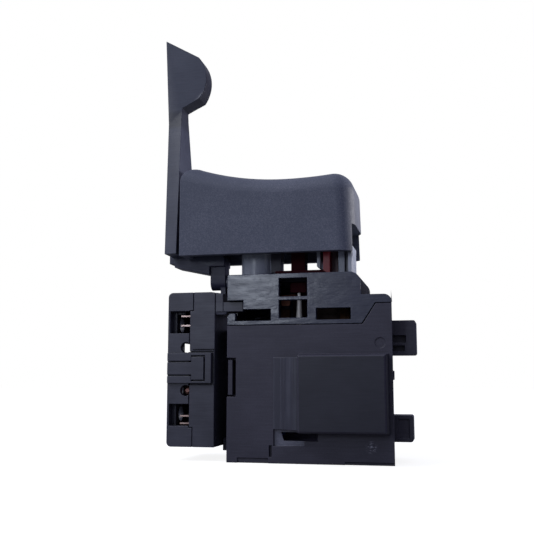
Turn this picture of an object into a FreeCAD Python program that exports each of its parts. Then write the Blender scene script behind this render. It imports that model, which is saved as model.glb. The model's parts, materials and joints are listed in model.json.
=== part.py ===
import FreeCAD, Part
import math
import os

V = FreeCAD.Vector

# The switch stands on the flat bottom of its main housing. The origin is the middle of that face.
# +Z is the way the trigger comes back out, -X is the side of the reversing module and its lever,
# and -Y is the face with the windows and the raised block.

# Main housing
BODY_WIDTH = 34.8
LEFT = -BODY_WIDTH / 2
RIGHT = BODY_WIDTH / 2
BODY_DEPTH = 20.0
FRONT = -BODY_DEPTH / 2
BACK = BODY_DEPTH / 2
COVER_HEIGHT = 28.4
FRAME_HEIGHT = 10.9
BODY_HEIGHT = COVER_HEIGHT + FRAME_HEIGHT
WALL = 1.5
SIDE_DRAFT = 1.4
SPLIT_Y = -4.0
SEAM_GAP = 0.12
FIT_GAP = 0.1
SEAM_FOOT_X = RIGHT - 6.0
SEAM_HEAD_X = RIGHT - 3.25
COVER_EAR_HEIGHT = COVER_HEIGHT + 4.2
TOWER_RIGHT = RIGHT - 6.2
TOWER_ROUNDING = 2.4
SHOULDER_HEIGHT = COVER_EAR_HEIGHT + 1.9
SHOULDER_ROUNDING = 1.6
CORNER_ROUNDING = 0.3
SMALL_ROUNDING = 0.5
JOIN_OVERLAP = 0.5
SEAM_STEP = 0.9

# Windows of the upper frame, measured from the housing's left side and from its floor
WINDOW_LEFT = -6.1
WINDOW_WIDTH = 6.0
UPPER_WINDOW_BOTTOM = BODY_HEIGHT - 4.9
UPPER_WINDOW_TOP = BODY_HEIGHT - 1.0
WINDOW_BAR = 0.75
LOWER_WINDOW_BOTTOM = COVER_HEIGHT + 1.5
SIDE_WINDOW_BOTTOM = COVER_HEIGHT + 1.0
SIDE_WINDOW_TOP = COVER_HEIGHT + 3.4
LEFT_WINDOW_RIGHT = LEFT + 9.5
RIGHT_WINDOW_LEFT = 1.8
RIGHT_WINDOW_RIGHT = TOWER_RIGHT - 2.2
STEP_WIDTH = 3.5
STEP_BOTTOM = BODY_HEIGHT - 8.3
STEP_TOP = STEP_BOTTOM + 2.75
POST_WIDTH = 1.8
POST_CHAMFER = 0.6

# Front cover
BLOCK_LEFT = -1.55
BLOCK_RIGHT = RIGHT - 1.1
BLOCK_BOTTOM = 6.4
BLOCK_TOP = COVER_HEIGHT - 6.4
BLOCK_RISE = 4.2
BLOCK_DRAFT = 0.35
BLOCK_CHAMFER = 0.3
BLOCK_WALL = 1.5
RAMP_LEFT = BLOCK_LEFT - 5.75
RAMP_STEP_X = BLOCK_LEFT - 4.15
RAMP_SECOND_STEP_X = BLOCK_LEFT - 3.1
RAMP_CREST_X = BLOCK_LEFT - 1.2
RAMP_STEP = 0.35
RAMP_RISE = 3.3
RAMP_TOP = BLOCK_TOP - 0.4
RAMP_BOTTOM = BLOCK_BOTTOM + 0.5
POCKET_LEFT = RAMP_LEFT
POCKET_RIGHT = BLOCK_LEFT + 0.65
POCKET_BOTTOM = 3.5
POCKET_TOP = 6.9
POCKET_DEPTH = 0.7
SLOT_LEFT = POCKET_LEFT + 1.5
SLOT_RIGHT = BLOCK_LEFT + 3.45
SLOT_BOTTOM = 4.6
SLOT_TOP = 6.3
SLOT_SLANT = 0.55
NOTCH_LEFT = RAMP_LEFT - 0.95
NOTCH_WIDTH = 0.55
NOTCH_BOTTOM = 1.3
NOTCH_TOP = 3.6
REBATE_DEPTH = 0.3
LEFT_REBATE_START = LEFT + 2.4
LEFT_REBATE_END = NOTCH_LEFT - 0.25
LEFT_REBATE_HEIGHT = 1.0
RIGHT_REBATE_START = RIGHT - 9.9
RIGHT_REBATE_HEIGHT = 0.55
SNAP_WINDOW_WIDTH = 1.95
SNAP_WINDOW_BOTTOM = COVER_HEIGHT - 14.9
SNAP_WINDOW_TOP = COVER_HEIGHT - 6.8
SNAP_ARM_THICKNESS = 1.0
SNAP_ARM_SETBACK = 0.35
EJECTOR_X = RIGHT - 2.5
EJECTOR_Z = COVER_HEIGHT - 3.9
EJECTOR_RADIUS = 1.05
EJECTOR_DEPTH = 0.15

# Lugs on the right side of the rear case
LUG_DEPTH = 6.0
LUG_ROUNDING = 0.5
UPPER_LUG_REACH = RIGHT + 4.4
UPPER_LUG_BOTTOM = COVER_HEIGHT - 6.2
UPPER_LUG_TOP = COVER_HEIGHT + 1.1
GROOVE_DEPTH = 1.4
GROOVE_RUNS = ((UPPER_LUG_BOTTOM + 2.6, UPPER_LUG_BOTTOM + 4.1, RIGHT + 2.3),
               (UPPER_LUG_BOTTOM + 0.75, UPPER_LUG_BOTTOM + 1.95, RIGHT + 2.0))
LOWER_LUG_REACH = RIGHT + 3.4
LOWER_LUG_BOTTOM = 4.2
LOWER_LUG_TOP = 9.7
LUG_SOCKET_WALL = 0.8
LUG_SOCKET_DEPTH = 0.35
NUB_REACH = 0.5
NUB_BOTTOM = 17.0
NUB_TOP = 18.9

# Trigger
TRIGGER_TRAVEL = 4.2
LEVER_PLATE_RIGHT_FOOT = LEFT - 12.35
TRIGGER_WIDTH = 18.0
TRIGGER_LEFT = LEVER_PLATE_RIGHT_FOOT + 0.95
TRIGGER_RIGHT = 10.0
TRIGGER_BOTTOM = BODY_HEIGHT + 4.75
TRIGGER_SADDLE_X = -5.5
TRIGGER_SADDLE_Z = TRIGGER_BOTTOM + 16.9
TRIGGER_SADDLE_LEFT_RADIUS = 62.0
TRIGGER_SADDLE_RIGHT_RADIUS = 98.0
TRIGGER_END_DRAFT = 0.5
TRIGGER_END_ROUNDING = 4.4
TRIGGER_ROOM_ROUNDING = 1.8
TRIGGER_CREST_ROUNDING = 4.0
TRIGGER_LEFT_ROUNDING = 3.4
TRIGGER_WALL = 1.8
TRIGGER_ROOF = 2.4
RIB_THICKNESS = 1.2
RIB_PLACES = (-21.5, -15.5, -9.5, -3.5, 2.5, 7.5)
LEVER_NOTCH_CLEARANCE = 0.5

# Grey slide under the trigger: spring tube, plate, cheek and guide post
TUBE_X = LEFT + 4.33
TUBE_RADIUS = 3.6
TUBE_BORE_RADIUS = 2.9
TUBE_BOTTOM = COVER_HEIGHT + TRIGGER_TRAVEL + 0.4
TUBE_BORE_TOP = BODY_HEIGHT + 7.3
RUNNING_GAP = 0.06
SLIDE_PLATE_BOTTOM = BODY_HEIGHT + 8.7
SLIDE_PLATE_TOP = SLIDE_PLATE_BOTTOM + 1.7
TUBE_KEY_RIGHT = -7.35
TUBE_KEY_HALF_WIDTH = 1.5
CHEEK_LEFT = 0.9
CHEEK_THICKNESS = 0.85
CHEEK_BOTTOM = BODY_HEIGHT + 1.9
CHEEK_CHAMFER = 0.4
CHEEK_DEPTH = 6.0
STRUT_LEFT = 5.6
STRUT_WIDTH = 1.45
STRUT_BOTTOM = BODY_HEIGHT - 2.3
GUIDE_POST_GROOVE = 0.85
GUIDE_POST_WIDTH = 0.85
GUIDE_POST_TOP = BODY_HEIGHT + 6.7
GUIDE_POST_FRONT = -4.4
GUIDE_POST_BACK = -1.4
TOP_OPENING_LEFT = -8.4
TOP_OPENING_RIGHT = TOWER_RIGHT - 2.3
TOP_OPENING_HALF_DEPTH = 4.75
COLLAR_WALL = 0.95
COLLAR_DROP = 2.4

# Red contact carrier
CARRIER_HALF_DEPTH = 4.4
FLANGE_LEFT = -8.1
FLANGE_RIGHT = 3.0
FLANGE_BOTTOM = BODY_HEIGHT + 0.1
FLANGE_TOP = FLANGE_BOTTOM + 1.25
STEM_LEFT = -5.1
STEM_RIGHT = -1.9
STEM_HALF_DEPTH = 1.6
BAR_LEFT = 2.5
BAR_STEP_X = 4.0
BAR_RIGHT = 5.45
BAR_STEP_Y = -1.5
CARRIER_LEFT = -3.3
CARRIER_RIGHT = 5.0
CARRIER_BODY_HALF_DEPTH = 3.5
CARRIER_BODY_BOTTOM = BODY_HEIGHT - 3.3
CHANNEL_BOTTOM = BODY_HEIGHT - 4.7
CHANNEL_SILL = 0.5
SPRING_POCKET_X = 0.6
SPRING_POCKET_RADIUS = 1.7
SPRING_POCKET_TOP = BODY_HEIGHT - 0.5
EAR_FRONT = -6.3
EAR_WIDTH = 3.8
EAR_BOTTOM = BODY_HEIGHT - 3.7
EAR_TOP = BODY_HEIGHT - 1.5

# Contact parts in the upper frame
PIN_X = -2.63
PIN_Y = -5.26
PIN_FOOT_RADIUS = 0.75
PIN_TIP_RADIUS = 0.35
PIN_TOP = BODY_HEIGHT - 3.1
EAR_BORE_RADIUS = 0.66
PIN_SEAT = 1.0
BASE_RIGHT = TOWER_RIGHT - 1.2
BASE_THICKNESS = 1.5
LEDGE = 1.2
BRIDGE_HALF_WIDTH = 1.5
BRIDGE_THICKNESS = 0.6
BLADE_THICKNESS = 0.6
BLADE_OUTER_X = 7.6
BLADE_WIDTH = 2.0
BLADE_DROP = 1.8
JAW_TOP = STRUT_BOTTOM - TRIGGER_TRAVEL - 0.4
JAW_THICKNESS = 0.5
JAW_GAP = 0.05
STRAP_THICKNESS = 0.6
STRAP_HALF_DEPTH = 2.2
LEFT_STRAP_LEFT = -8.2
LEFT_STRAP_RIGHT = -4.9
RIGHT_STRAP_LEFT = 2.4
RIGHT_STRAP_RIGHT = TOWER_RIGHT - 2.3
RIGHT_STRAP_FRONT = -6.6
CONTACT_LEG_WIDTH = 2.0
CONTACT_LEG_DROP = 3.6
RETURN_SPRING_RADIUS = 2.35
RETURN_WIRE_RADIUS = 0.3
RETURN_TURNS = 8
SPRING_SPIGOT_RADIUS = 1.7
SPRING_SPIGOT_HEIGHT = 1.6
CONTACT_SPRING_RADIUS = 1.2
CONTACT_WIRE_RADIUS = 0.22
CONTACT_TURNS = 4
COIL_STEPS = 12
WIRE_SIDES = 6
TRACK_LEFT = -6.0
TRACK_RIGHT = 6.0
TRACK_FRONT = 5.3
TRACK_THICKNESS = 1.0
WIPER_LEFT = -1.0
WIPER_WIDTH = 3.4
WIPER_THICKNESS = 0.25

# Direction lever
PIVOT_Z = BODY_HEIGHT - 0.4
LEVER_PIN_RADIUS = 1.0
LEVER_PIN_GAP = 0.04
BOSS_RADIUS = 1.75
GUSSET_GAP = 0.36
BOSS_LEFT = LEFT - 2.7
LEVER_PLATE_LEFT_TOP = LEFT - 17.7
LEVER_PLATE_LEFT_FOOT = LEFT - 15.2
LEVER_PLATE_RIGHT_TOP = LEFT - 13.4
LEVER_FOOT = TRIGGER_BOTTOM + 0.65
LEVER_TOP = LEVER_FOOT + 52.5
PAD_BEND_X = LEFT - 9.5
PAD_BEND_Z = LEVER_TOP - 4.8
PAD_REACH_X = LEFT - 7.6
PAD_REACH_Z = LEVER_TOP - 10.0
PAD_LOWER_X = LEFT - 9.2
PAD_LOWER_Z = LEVER_TOP - 14.9
PAD_FOOT_Z = LEVER_TOP - 17.0
PAD_HALF_THICKNESS = 2.35
NECK_Z = LEVER_TOP - 19.2
FLARE_Z = LEVER_TOP - 21.6
FLARE_SLANT = 0.9
FOOT_HALF_WIDTH = 7.4
ARM_HALF_WIDTH = 2.6
ARM_LEFT = LEFT - 15.8
ARM_TOP = PIVOT_Z + 6.5
ARM_STEP_Z = PIVOT_Z + 4.3
ARM_STEP_X = LEFT - 14.6
ARM_STEP_DROP = 0.8
ARM_END_Z = PIVOT_Z + 1.7
HUB_LEFT = LEFT - 6.3
HUB_GAP = 0.1
TAIL_THICKNESS = 1.2
TAIL_HALF_WIDTH = 1.3
TAIL_TIP_RADIUS = 0.9
TAIL_NECK_HALF_WIDTH = 0.72
TAIL_TIP_Z = PIVOT_Z - 5.7
LEVER_SWING = 9.0

# Reversing module
MODULE_LEFT = LEFT - 13.6
MODULE_RIGHT = LEFT - 3.0
MODULE_BOTTOM = 2.9
MODULE_TOP = BODY_HEIGHT - 3.45
MODULE_MIDDLE = (MODULE_BOTTOM + MODULE_TOP) / 2
MODULE_HALF_DEPTH = 9.0
MODULE_WALL = 1.3
MODULE_ROUNDING = 1.0
MODULE_NECK_Z = MODULE_TOP - 3.95
MODULE_SHELF_RIGHT = LEFT - 1.2
MODULE_SLOPE_X = LEFT - 3.9
MODULE_SLOPE_DROP = 0.4
TONGUE_RIGHT = LEFT + 3.2
TONGUE_BOTTOM = STEP_BOTTOM + 0.5
TONGUE_TOP = TONGUE_BOTTOM + 2.1
TONGUE_FRONT = -8.9
TONGUE_BACK = -6.5
TONGUE_GAP = 0.3
TAIL_SLOT_HALF_LENGTH = 3.2
TAIL_SLOT_GAP = 0.25
SLIDER_LEFT = MODULE_LEFT + 1.6
SLIDER_HALF_DEPTH = 4.6
SHELF_HALF_DEPTH = 6.4
CHANGEOVER_STRIP_Y = 2.8
SLIDER_TOP = MODULE_NECK_Z + 2.05
SLIDER_GAP = 0.08
FORK_GAP = 0.04
MODULE_WINDOW_LEFT = MODULE_LEFT + 0.5
MODULE_WINDOW_RIGHT = MODULE_LEFT + 4.9
UPPER_MODULE_WINDOW = (MODULE_TOP - 8.85, MODULE_TOP - 4.05)
LOWER_MODULE_WINDOW = (MODULE_BOTTOM + 4.4, MODULE_BOTTOM + 9.0)
PROBE_HOLE_X = MODULE_LEFT + 4.15
PROBE_HOLE_RADIUS = 1.15
PROBE_HOLE_HEIGHTS = (MODULE_MIDDLE + 4.525, MODULE_MIDDLE - 4.625)
WIRE_ENTRY_RADIUS = 1.6
WIRE_ENTRY_HEIGHTS = (UPPER_MODULE_WINDOW[0] + 2.2, PROBE_HOLE_HEIGHTS[0] + 0.4,
                      PROBE_HOLE_HEIGHTS[1] + 0.25, LOWER_MODULE_WINDOW[0] + 2.4)
COVER_EDGE_X = MODULE_LEFT + 5.0
COVER_EDGE_INNER_X = MODULE_LEFT + 5.8
COVER_EDGE_TOP_Z = MODULE_TOP - 4.05
COVER_EDGE_LOW_Z = MODULE_BOTTOM + 4.15
COVER_LINE_Z = MODULE_MIDDLE + 3.925
COVER_GAP = 0.12
LATCH_RISE = 0.8
LATCH_LEFT = MODULE_LEFT + 0.2
LATCH_RIGHT = MODULE_RIGHT - 0.55
LATCH_GROOVE = 0.35
LATCH_BOTTOM = MODULE_MIDDLE - 3.075
LATCH_TOP = MODULE_MIDDLE + 3.375
STEM_BOTTOM = MODULE_MIDDLE - 1.275
STEM_TOP = MODULE_MIDDLE + 1.375
HEAD_BOTTOM = MODULE_MIDDLE - 2.375
HEAD_TOP = MODULE_MIDDLE + 2.525
HEAD_LEFT = MODULE_LEFT + 5.6
HEAD_RIGHT = MODULE_LEFT + 8.4
HEAD_OVERLAP = 0.5
LATCH_GAP = 0.28
CAGE_LEFT = MODULE_LEFT + 2.4
CAGE_RIGHT = MODULE_LEFT + 5.3
CAGE_FRONT = -7.2
CAGE_BACK = 1.0
CAGE_THICKNESS = 0.32
UPPER_CAGE_BOTTOM = UPPER_MODULE_WINDOW[0] + 1.6
UPPER_CAGE_HEIGHT = 2.4
LOWER_CAGE_BOTTOM = LOWER_MODULE_WINDOW[0] + 0.3
LOWER_CAGE_HEIGHT = 1.9
WIRE_ENTRY_Y = (CAGE_FRONT + CAGE_BACK) / 2
STUD_OFFSET = 0.15
STUD_RADIUS = 0.8
STUD_TIP_RADIUS = 0.4
STUD_TIP_LENGTH = 0.4
STUD_TAB_THICKNESS = 0.8
SIDE_SLOT_FRONT = WIRE_ENTRY_Y + WIRE_ENTRY_RADIUS + 0.4
SIDE_SLOT_BACK = 7.0
SIDE_SLOT_BOTTOM = PROBE_HOLE_HEIGHTS[0] - 0.7
SIDE_SLOT_TOP = PROBE_HOLE_HEIGHTS[0] + 1.4
FOOT_TIE_BACK = BACK - 4.5
FOOT_TIE_TOP = 4.4
FOOT_TIE_BOTTOM = 1.8
BACK_WEB_FRONT = 4.2
BACK_WEB_THICKNESS = 1.3

# Electronics in the lower housing, from the back wall forwards
SINK_THICKNESS = 1.5
TAB_THICKNESS = 1.2
TRIAC_THICKNESS = 3.4
TRIAC_CLEARANCE = 0.2
BOARD_THICKNESS = 1.2
BOARD_CLEARANCE = 0.5
BOARD_BACK = BACK - WALL - SINK_THICKNESS - TAB_THICKNESS - TRIAC_THICKNESS - TRIAC_CLEARANCE
BOARD_FRONT = BOARD_BACK - BOARD_THICKNESS
BOARD_LEFT = LEFT + 3.0
BOARD_RIGHT = RIGHT - 4.2
BOARD_BOTTOM = 3.0
BOARD_TOP = COVER_HEIGHT - 3.8
CAPACITOR_GAP = 0.7
CAPACITOR_LEFT = BLOCK_LEFT + BLOCK_WALL + CAPACITOR_GAP
CAPACITOR_RIGHT = BLOCK_RIGHT - BLOCK_WALL - CAPACITOR_GAP
CAPACITOR_BOTTOM = BLOCK_BOTTOM + BLOCK_WALL + CAPACITOR_GAP
CAPACITOR_TOP = BLOCK_TOP - BLOCK_WALL - CAPACITOR_GAP
CAPACITOR_FRONT = FRONT - BLOCK_RISE + BLOCK_WALL + CAPACITOR_GAP
SINK_LEFT = LEFT + 3.9
SINK_RIGHT = RIGHT - 13.9
SINK_BOTTOM = 4.0
SINK_TOP = BOARD_TOP - 1.6
TRIAC_LEFT = SINK_LEFT + 4.0
TRIAC_WIDTH = 9.8
TRIAC_LEG_PITCH = 2.45
TRIAC_BOTTOM = 6.0
TRIAC_HEIGHT = 9.0
TAB_HEIGHT = 6.0
RESISTOR_RADIUS = 1.2
RESISTOR_LENGTH = 6.3
RESISTOR_LEFT = BOARD_LEFT + 5.0
RESISTOR_HEIGHTS = (BOARD_TOP - 3.8, BOARD_TOP - 7.4)
LEAD_HALF_WIDTH = 0.3
DISC_RADIUS = 3.4
DISC_THICKNESS = 2.0
DISC_X = BOARD_LEFT + 5.4
DISC_Z = BOARD_BOTTOM + DISC_RADIUS + 1.3

FRAME_BOTTOM = COVER_HEIGHT + SEAM_GAP
CHAMBER_TOP = BODY_HEIGHT - WALL
CHAMBER_RIGHT = TOWER_RIGHT - WALL
BASE_BOTTOM = COVER_HEIGHT - BASE_THICKNESS
FAR = 60.0


def box(x0, x1, y0, y1, z0, z1):
    return Part.makeBox(x1 - x0, y1 - y0, z1 - z0, V(x0, y0, z0))


def rod(radius, start, end):
    run = end - start
    return Part.makeCylinder(radius, run.Length, start, run)


def rounded_face(corners, place):
    """A flat face through corners of the form (u, v) or (u, v, radius)."""
    count = len(corners)
    joints = []
    for index, corner in enumerate(corners):
        radius = corner[2] if len(corner) > 2 else 0
        here = V(corner[0], corner[1], 0)
        before = V(*corners[index - 1][:2], 0) - here
        after = V(*corners[(index + 1) % count][:2], 0) - here
        before.normalize()
        after.normalize()
        if radius == 0:
            joints.append((here, None, here))
            continue
        half = before.getAngle(after) / 2
        run = radius / math.tan(half)
        middle = before + after
        middle.normalize()
        reach = radius / math.sin(half) - radius
        joints.append((here + before * run, here + middle * reach, here + after * run))
    edges = []
    for index, (start, middle, end) in enumerate(joints):
        if middle is not None:
            edges.append(Part.Arc(place(start), place(middle), place(end)).toShape())
        following = joints[(index + 1) % count][0]
        if end.distanceToPoint(following) > 1e-6:
            edges.append(Part.LineSegment(place(end), place(following)).toShape())
    return Part.Face(Part.Wire(Part.sortEdges(edges)[0]))


def prism_xz(corners, y0, y1):
    return rounded_face(corners, lambda p: V(p.x, y0, p.y)).extrude(V(0, y1 - y0, 0))


def prism_yz(corners, x0, x1):
    return rounded_face(corners, lambda p: V(x0, p.x, p.y)).extrude(V(x1 - x0, 0, 0))


def prism_xy(corners, z0, z1):
    return rounded_face(corners, lambda p: V(p.x, p.y, z0)).extrude(V(0, 0, z1 - z0))


def joined(first, *others):
    return first.fuse(list(others)).removeSplitter()


def edges_where(shape, test):
    return [edge for edge in shape.Edges if test(edge)]


def runs_along(edge, axis):
    """True for a straight edge along the axis."""
    first, last = edge.Vertexes[0].Point, edge.Vertexes[-1].Point
    run = last - first
    return run.Length > 1e-6 and abs(abs(run.normalize().dot(axis)) - 1) < 1e-4


def coil(radius, wire, turns, x, y, z0, z1):
    """A compression spring between two heights, its wire in short straight runs."""
    rise = z1 - z0 - 2 * wire
    count = turns * COIL_STEPS
    points = []
    for step in range(count + 1):
        turn = 2 * math.pi * step / COIL_STEPS
        points.append(V(x + radius * math.cos(turn), y + radius * math.sin(turn),
                        z0 + wire + rise * step / count))
    start = (points[1] - points[0]).normalize()
    across = start.cross(V(0, 0, 1)).normalize()
    up = across.cross(start)
    ring = []
    for corner in range(WIRE_SIDES + 1):
        angle = 2 * math.pi * corner / WIRE_SIDES
        ring.append(points[0] + across * (wire * math.cos(angle)) + up * (wire * math.sin(angle)))
    section = Part.makePolygon(ring)
    return Part.makePolygon(points).makePipeShell([section], True, True, 1)


def right_side(y, inset=0.0):
    """X of the drafted right side of the housing at depth y."""
    return RIGHT - inset - SIDE_DRAFT * (y - FRONT) / BODY_DEPTH


def plan(y0, y1, inset=0.0):
    """Plan outline of the housing between two depths, as a tall prism."""
    corners = [(LEFT + inset, y0), (right_side(y0, inset), y0),
               (right_side(y1, inset), y1), (LEFT + inset, y1)]
    return prism_xy(corners, -1, FAR)


def lower_outline():
    return [(LEFT, 0), (RIGHT, 0), (RIGHT, COVER_EAR_HEIGHT), (SEAM_HEAD_X, COVER_EAR_HEIGHT),
            (SEAM_FOOT_X, COVER_HEIGHT), (LEFT, COVER_HEIGHT)]


def lower_cavity(y0, y1):
    """The room inside the lower housing, open at the top over the contact base."""
    corners = [(LEFT + WALL, WALL), (RIGHT + WALL, WALL), (RIGHT + WALL, COVER_EAR_HEIGHT - WALL),
               (SEAM_HEAD_X + SEAM_STEP, COVER_EAR_HEIGHT - WALL),
               (SEAM_FOOT_X + SEAM_STEP, BASE_BOTTOM), (BASE_RIGHT, BASE_BOTTOM),
               (BASE_RIGHT, FAR), (LEFT + WALL, FAR)]
    return prism_xz(corners, y0, y1).common(plan(y0, y1, WALL))


def snap_arm():
    """The latch arm of the rear case that shows in the front cover's side window."""
    return box(LEFT + SNAP_ARM_SETBACK / 2, LEFT + SNAP_ARM_SETBACK / 2 + SNAP_ARM_THICKNESS,
               FRONT + SNAP_ARM_SETBACK, SPLIT_Y + WALL,
               SNAP_WINDOW_BOTTOM + SNAP_ARM_SETBACK, SNAP_WINDOW_TOP - SNAP_ARM_SETBACK)


def lug(reach, bottom, top):
    """A moulded lug on the right side, with its outer corners rounded."""
    root = right_side(LUG_DEPTH / 2) - WALL / 2
    corners = [(root, bottom), (reach, bottom, LUG_ROUNDING), (reach, top, LUG_ROUNDING),
               (root, top)]
    return prism_xz(corners, -LUG_DEPTH / 2, LUG_DEPTH / 2)


def rear_case():
    shell = prism_xz(lower_outline(), SPLIT_Y, BACK).common(plan(SPLIT_Y, BACK))
    shell = shell.cut(lower_cavity(SPLIT_Y, BACK - WALL))
    ledges = []
    for x in (LEFT + WALL / 2, BASE_RIGHT - LEDGE):
        ledges.append(box(x, x + LEDGE + WALL / 2, BACK - WALL - LEDGE * 2, BACK - WALL / 2,
                          BASE_BOTTOM - LEDGE, BASE_BOTTOM))
    web = box(MODULE_RIGHT + COVER_GAP, LEFT + WALL / 2, BACK_WEB_FRONT,
              BACK_WEB_FRONT + BACK_WEB_THICKNESS, FOOT_TIE_BOTTOM, COVER_HEIGHT)
    rails = []
    for z in (BOARD_BOTTOM + LEDGE, BOARD_TOP - LEDGE * 2):
        rails.append(box(SINK_RIGHT + LEDGE, SINK_RIGHT + LEDGE * 2,
                         BOARD_FRONT + BOARD_THICKNESS, BACK - WALL / 2, z, z + LEDGE))
        rails.append(box(BOARD_RIGHT - LEDGE * 2, BOARD_RIGHT - LEDGE,
                         BOARD_FRONT + BOARD_THICKNESS, BACK - WALL / 2, z, z + LEDGE))
    upper = lug(UPPER_LUG_REACH, UPPER_LUG_BOTTOM, UPPER_LUG_TOP)
    for bottom, top, reach in GROOVE_RUNS:
        upper = upper.cut(box(right_side(-LUG_DEPTH / 2), reach, -LUG_DEPTH / 2 - 1,
                              -LUG_DEPTH / 2 + GROOVE_DEPTH, bottom, top))
    lower = lug(LOWER_LUG_REACH, LOWER_LUG_BOTTOM, LOWER_LUG_TOP)
    lower = lower.cut(box(right_side(-LUG_DEPTH / 2) + LUG_SOCKET_WALL,
                          LOWER_LUG_REACH - LUG_SOCKET_WALL, -LUG_DEPTH / 2 - 1,
                          -LUG_DEPTH / 2 + LUG_SOCKET_DEPTH,
                          LOWER_LUG_BOTTOM + LUG_SOCKET_WALL, LOWER_LUG_TOP - LUG_SOCKET_WALL))
    nub = box(RIGHT - WALL, RIGHT - SIDE_DRAFT / 2 + NUB_REACH, SPLIT_Y, SPLIT_Y + WALL,
              NUB_BOTTOM, NUB_TOP)
    tie = box(MODULE_RIGHT + COVER_GAP, LEFT + WALL / 2, SPLIT_Y + WALL, FOOT_TIE_BACK,
              FOOT_TIE_BOTTOM, FOOT_TIE_TOP)
    return joined(shell, snap_arm(), upper, lower, nub, tie, web, *ledges, *rails)


def block_shape(inset, back):
    """The raised block on the cover, tapered towards its face."""
    def ring(y, margin):
        x0, x1 = BLOCK_LEFT + margin, BLOCK_RIGHT - margin
        z0, z1 = BLOCK_BOTTOM + margin, BLOCK_TOP - margin
        corners = [V(x0, y, z0), V(x1, y, z0), V(x1, y, z1), V(x0, y, z1), V(x0, y, z0)]
        return Part.makePolygon(corners)
    face = FRONT - BLOCK_RISE + inset
    rings = [ring(back, inset - BLOCK_DRAFT), ring(face, inset)]
    if inset == 0:
        rings = [rings[0], ring(face + BLOCK_CHAMFER, 0), ring(face, BLOCK_CHAMFER)]
    return Part.makeLoft(rings, True, True)


def ramp():
    """The stepped ramp that leads up to the left side of the block."""
    corners = [(RAMP_LEFT, FRONT + WALL / 2), (RAMP_LEFT, FRONT - RAMP_STEP),
               (RAMP_STEP_X, FRONT - RAMP_STEP * 2), (RAMP_STEP_X, FRONT - RAMP_STEP * 3),
               (RAMP_SECOND_STEP_X, FRONT - RAMP_STEP * 4),
               (RAMP_SECOND_STEP_X, FRONT - RAMP_STEP * 5), (RAMP_CREST_X, FRONT - RAMP_RISE),
               (BLOCK_LEFT + 1, FRONT - RAMP_RISE), (BLOCK_LEFT + 1, FRONT + WALL / 2)]
    return prism_xy(corners, RAMP_BOTTOM, RAMP_TOP)


def front_cover():
    shell = prism_xz(lower_outline(), FRONT, SPLIT_Y).common(plan(FRONT, SPLIT_Y))
    shell = shell.cut(lower_cavity(FRONT + WALL, SPLIT_Y))
    block = block_shape(0, FRONT + WALL / 2)
    cover = joined(shell, block, ramp())
    cover = cover.cut(block_shape(BLOCK_WALL, FRONT + WALL + 1))
    pocket = box(POCKET_LEFT, POCKET_RIGHT, FRONT - RAMP_STEP * 2, FRONT + POCKET_DEPTH,
                 POCKET_BOTTOM, POCKET_TOP)
    slot = prism_xz([(SLOT_LEFT + SLOT_SLANT, SLOT_BOTTOM), (SLOT_RIGHT, SLOT_BOTTOM),
                     (SLOT_RIGHT, SLOT_TOP), (SLOT_LEFT, SLOT_TOP)], FRONT - 1, FRONT + WALL + 1)
    notch = box(NOTCH_LEFT, NOTCH_LEFT + NOTCH_WIDTH, FRONT - 1, FRONT + POCKET_DEPTH,
                NOTCH_BOTTOM, NOTCH_TOP)
    left_rebate = box(LEFT_REBATE_START, LEFT_REBATE_END, FRONT - 1, FRONT + REBATE_DEPTH,
                      -1, LEFT_REBATE_HEIGHT)
    right_rebate = box(RIGHT_REBATE_START, RIGHT + 1, FRONT - 1, FRONT + REBATE_DEPTH,
                       -1, RIGHT_REBATE_HEIGHT)
    snap_window = box(LEFT - 1, LEFT + SNAP_WINDOW_WIDTH, FRONT - 1, SPLIT_Y + 1,
                      SNAP_WINDOW_BOTTOM, SNAP_WINDOW_TOP)
    ejector = rod(EJECTOR_RADIUS, V(EJECTOR_X, FRONT - 1, EJECTOR_Z),
                  V(EJECTOR_X, FRONT + EJECTOR_DEPTH, EJECTOR_Z))
    for tool in (pocket, slot, notch, left_rebate, right_rebate, snap_window, ejector):
        cover = cover.cut(tool)
    return cover


def upper_outline():
    return [(LEFT, FRAME_BOTTOM), (SEAM_FOOT_X - SEAM_GAP, FRAME_BOTTOM),
            (SEAM_HEAD_X - SEAM_GAP, COVER_EAR_HEIGHT + SEAM_GAP),
            (RIGHT, COVER_EAR_HEIGHT + SEAM_GAP),
            (RIGHT, SHOULDER_HEIGHT, SHOULDER_ROUNDING), (TOWER_RIGHT, SHOULDER_HEIGHT),
            (TOWER_RIGHT, BODY_HEIGHT, TOWER_ROUNDING), (LEFT, BODY_HEIGHT, CORNER_ROUNDING)]


def front_window(x0, x1, z0, z1):
    return box(x0, x1, FRONT - 1, FRONT + WALL + 1, z0, z1)


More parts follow.
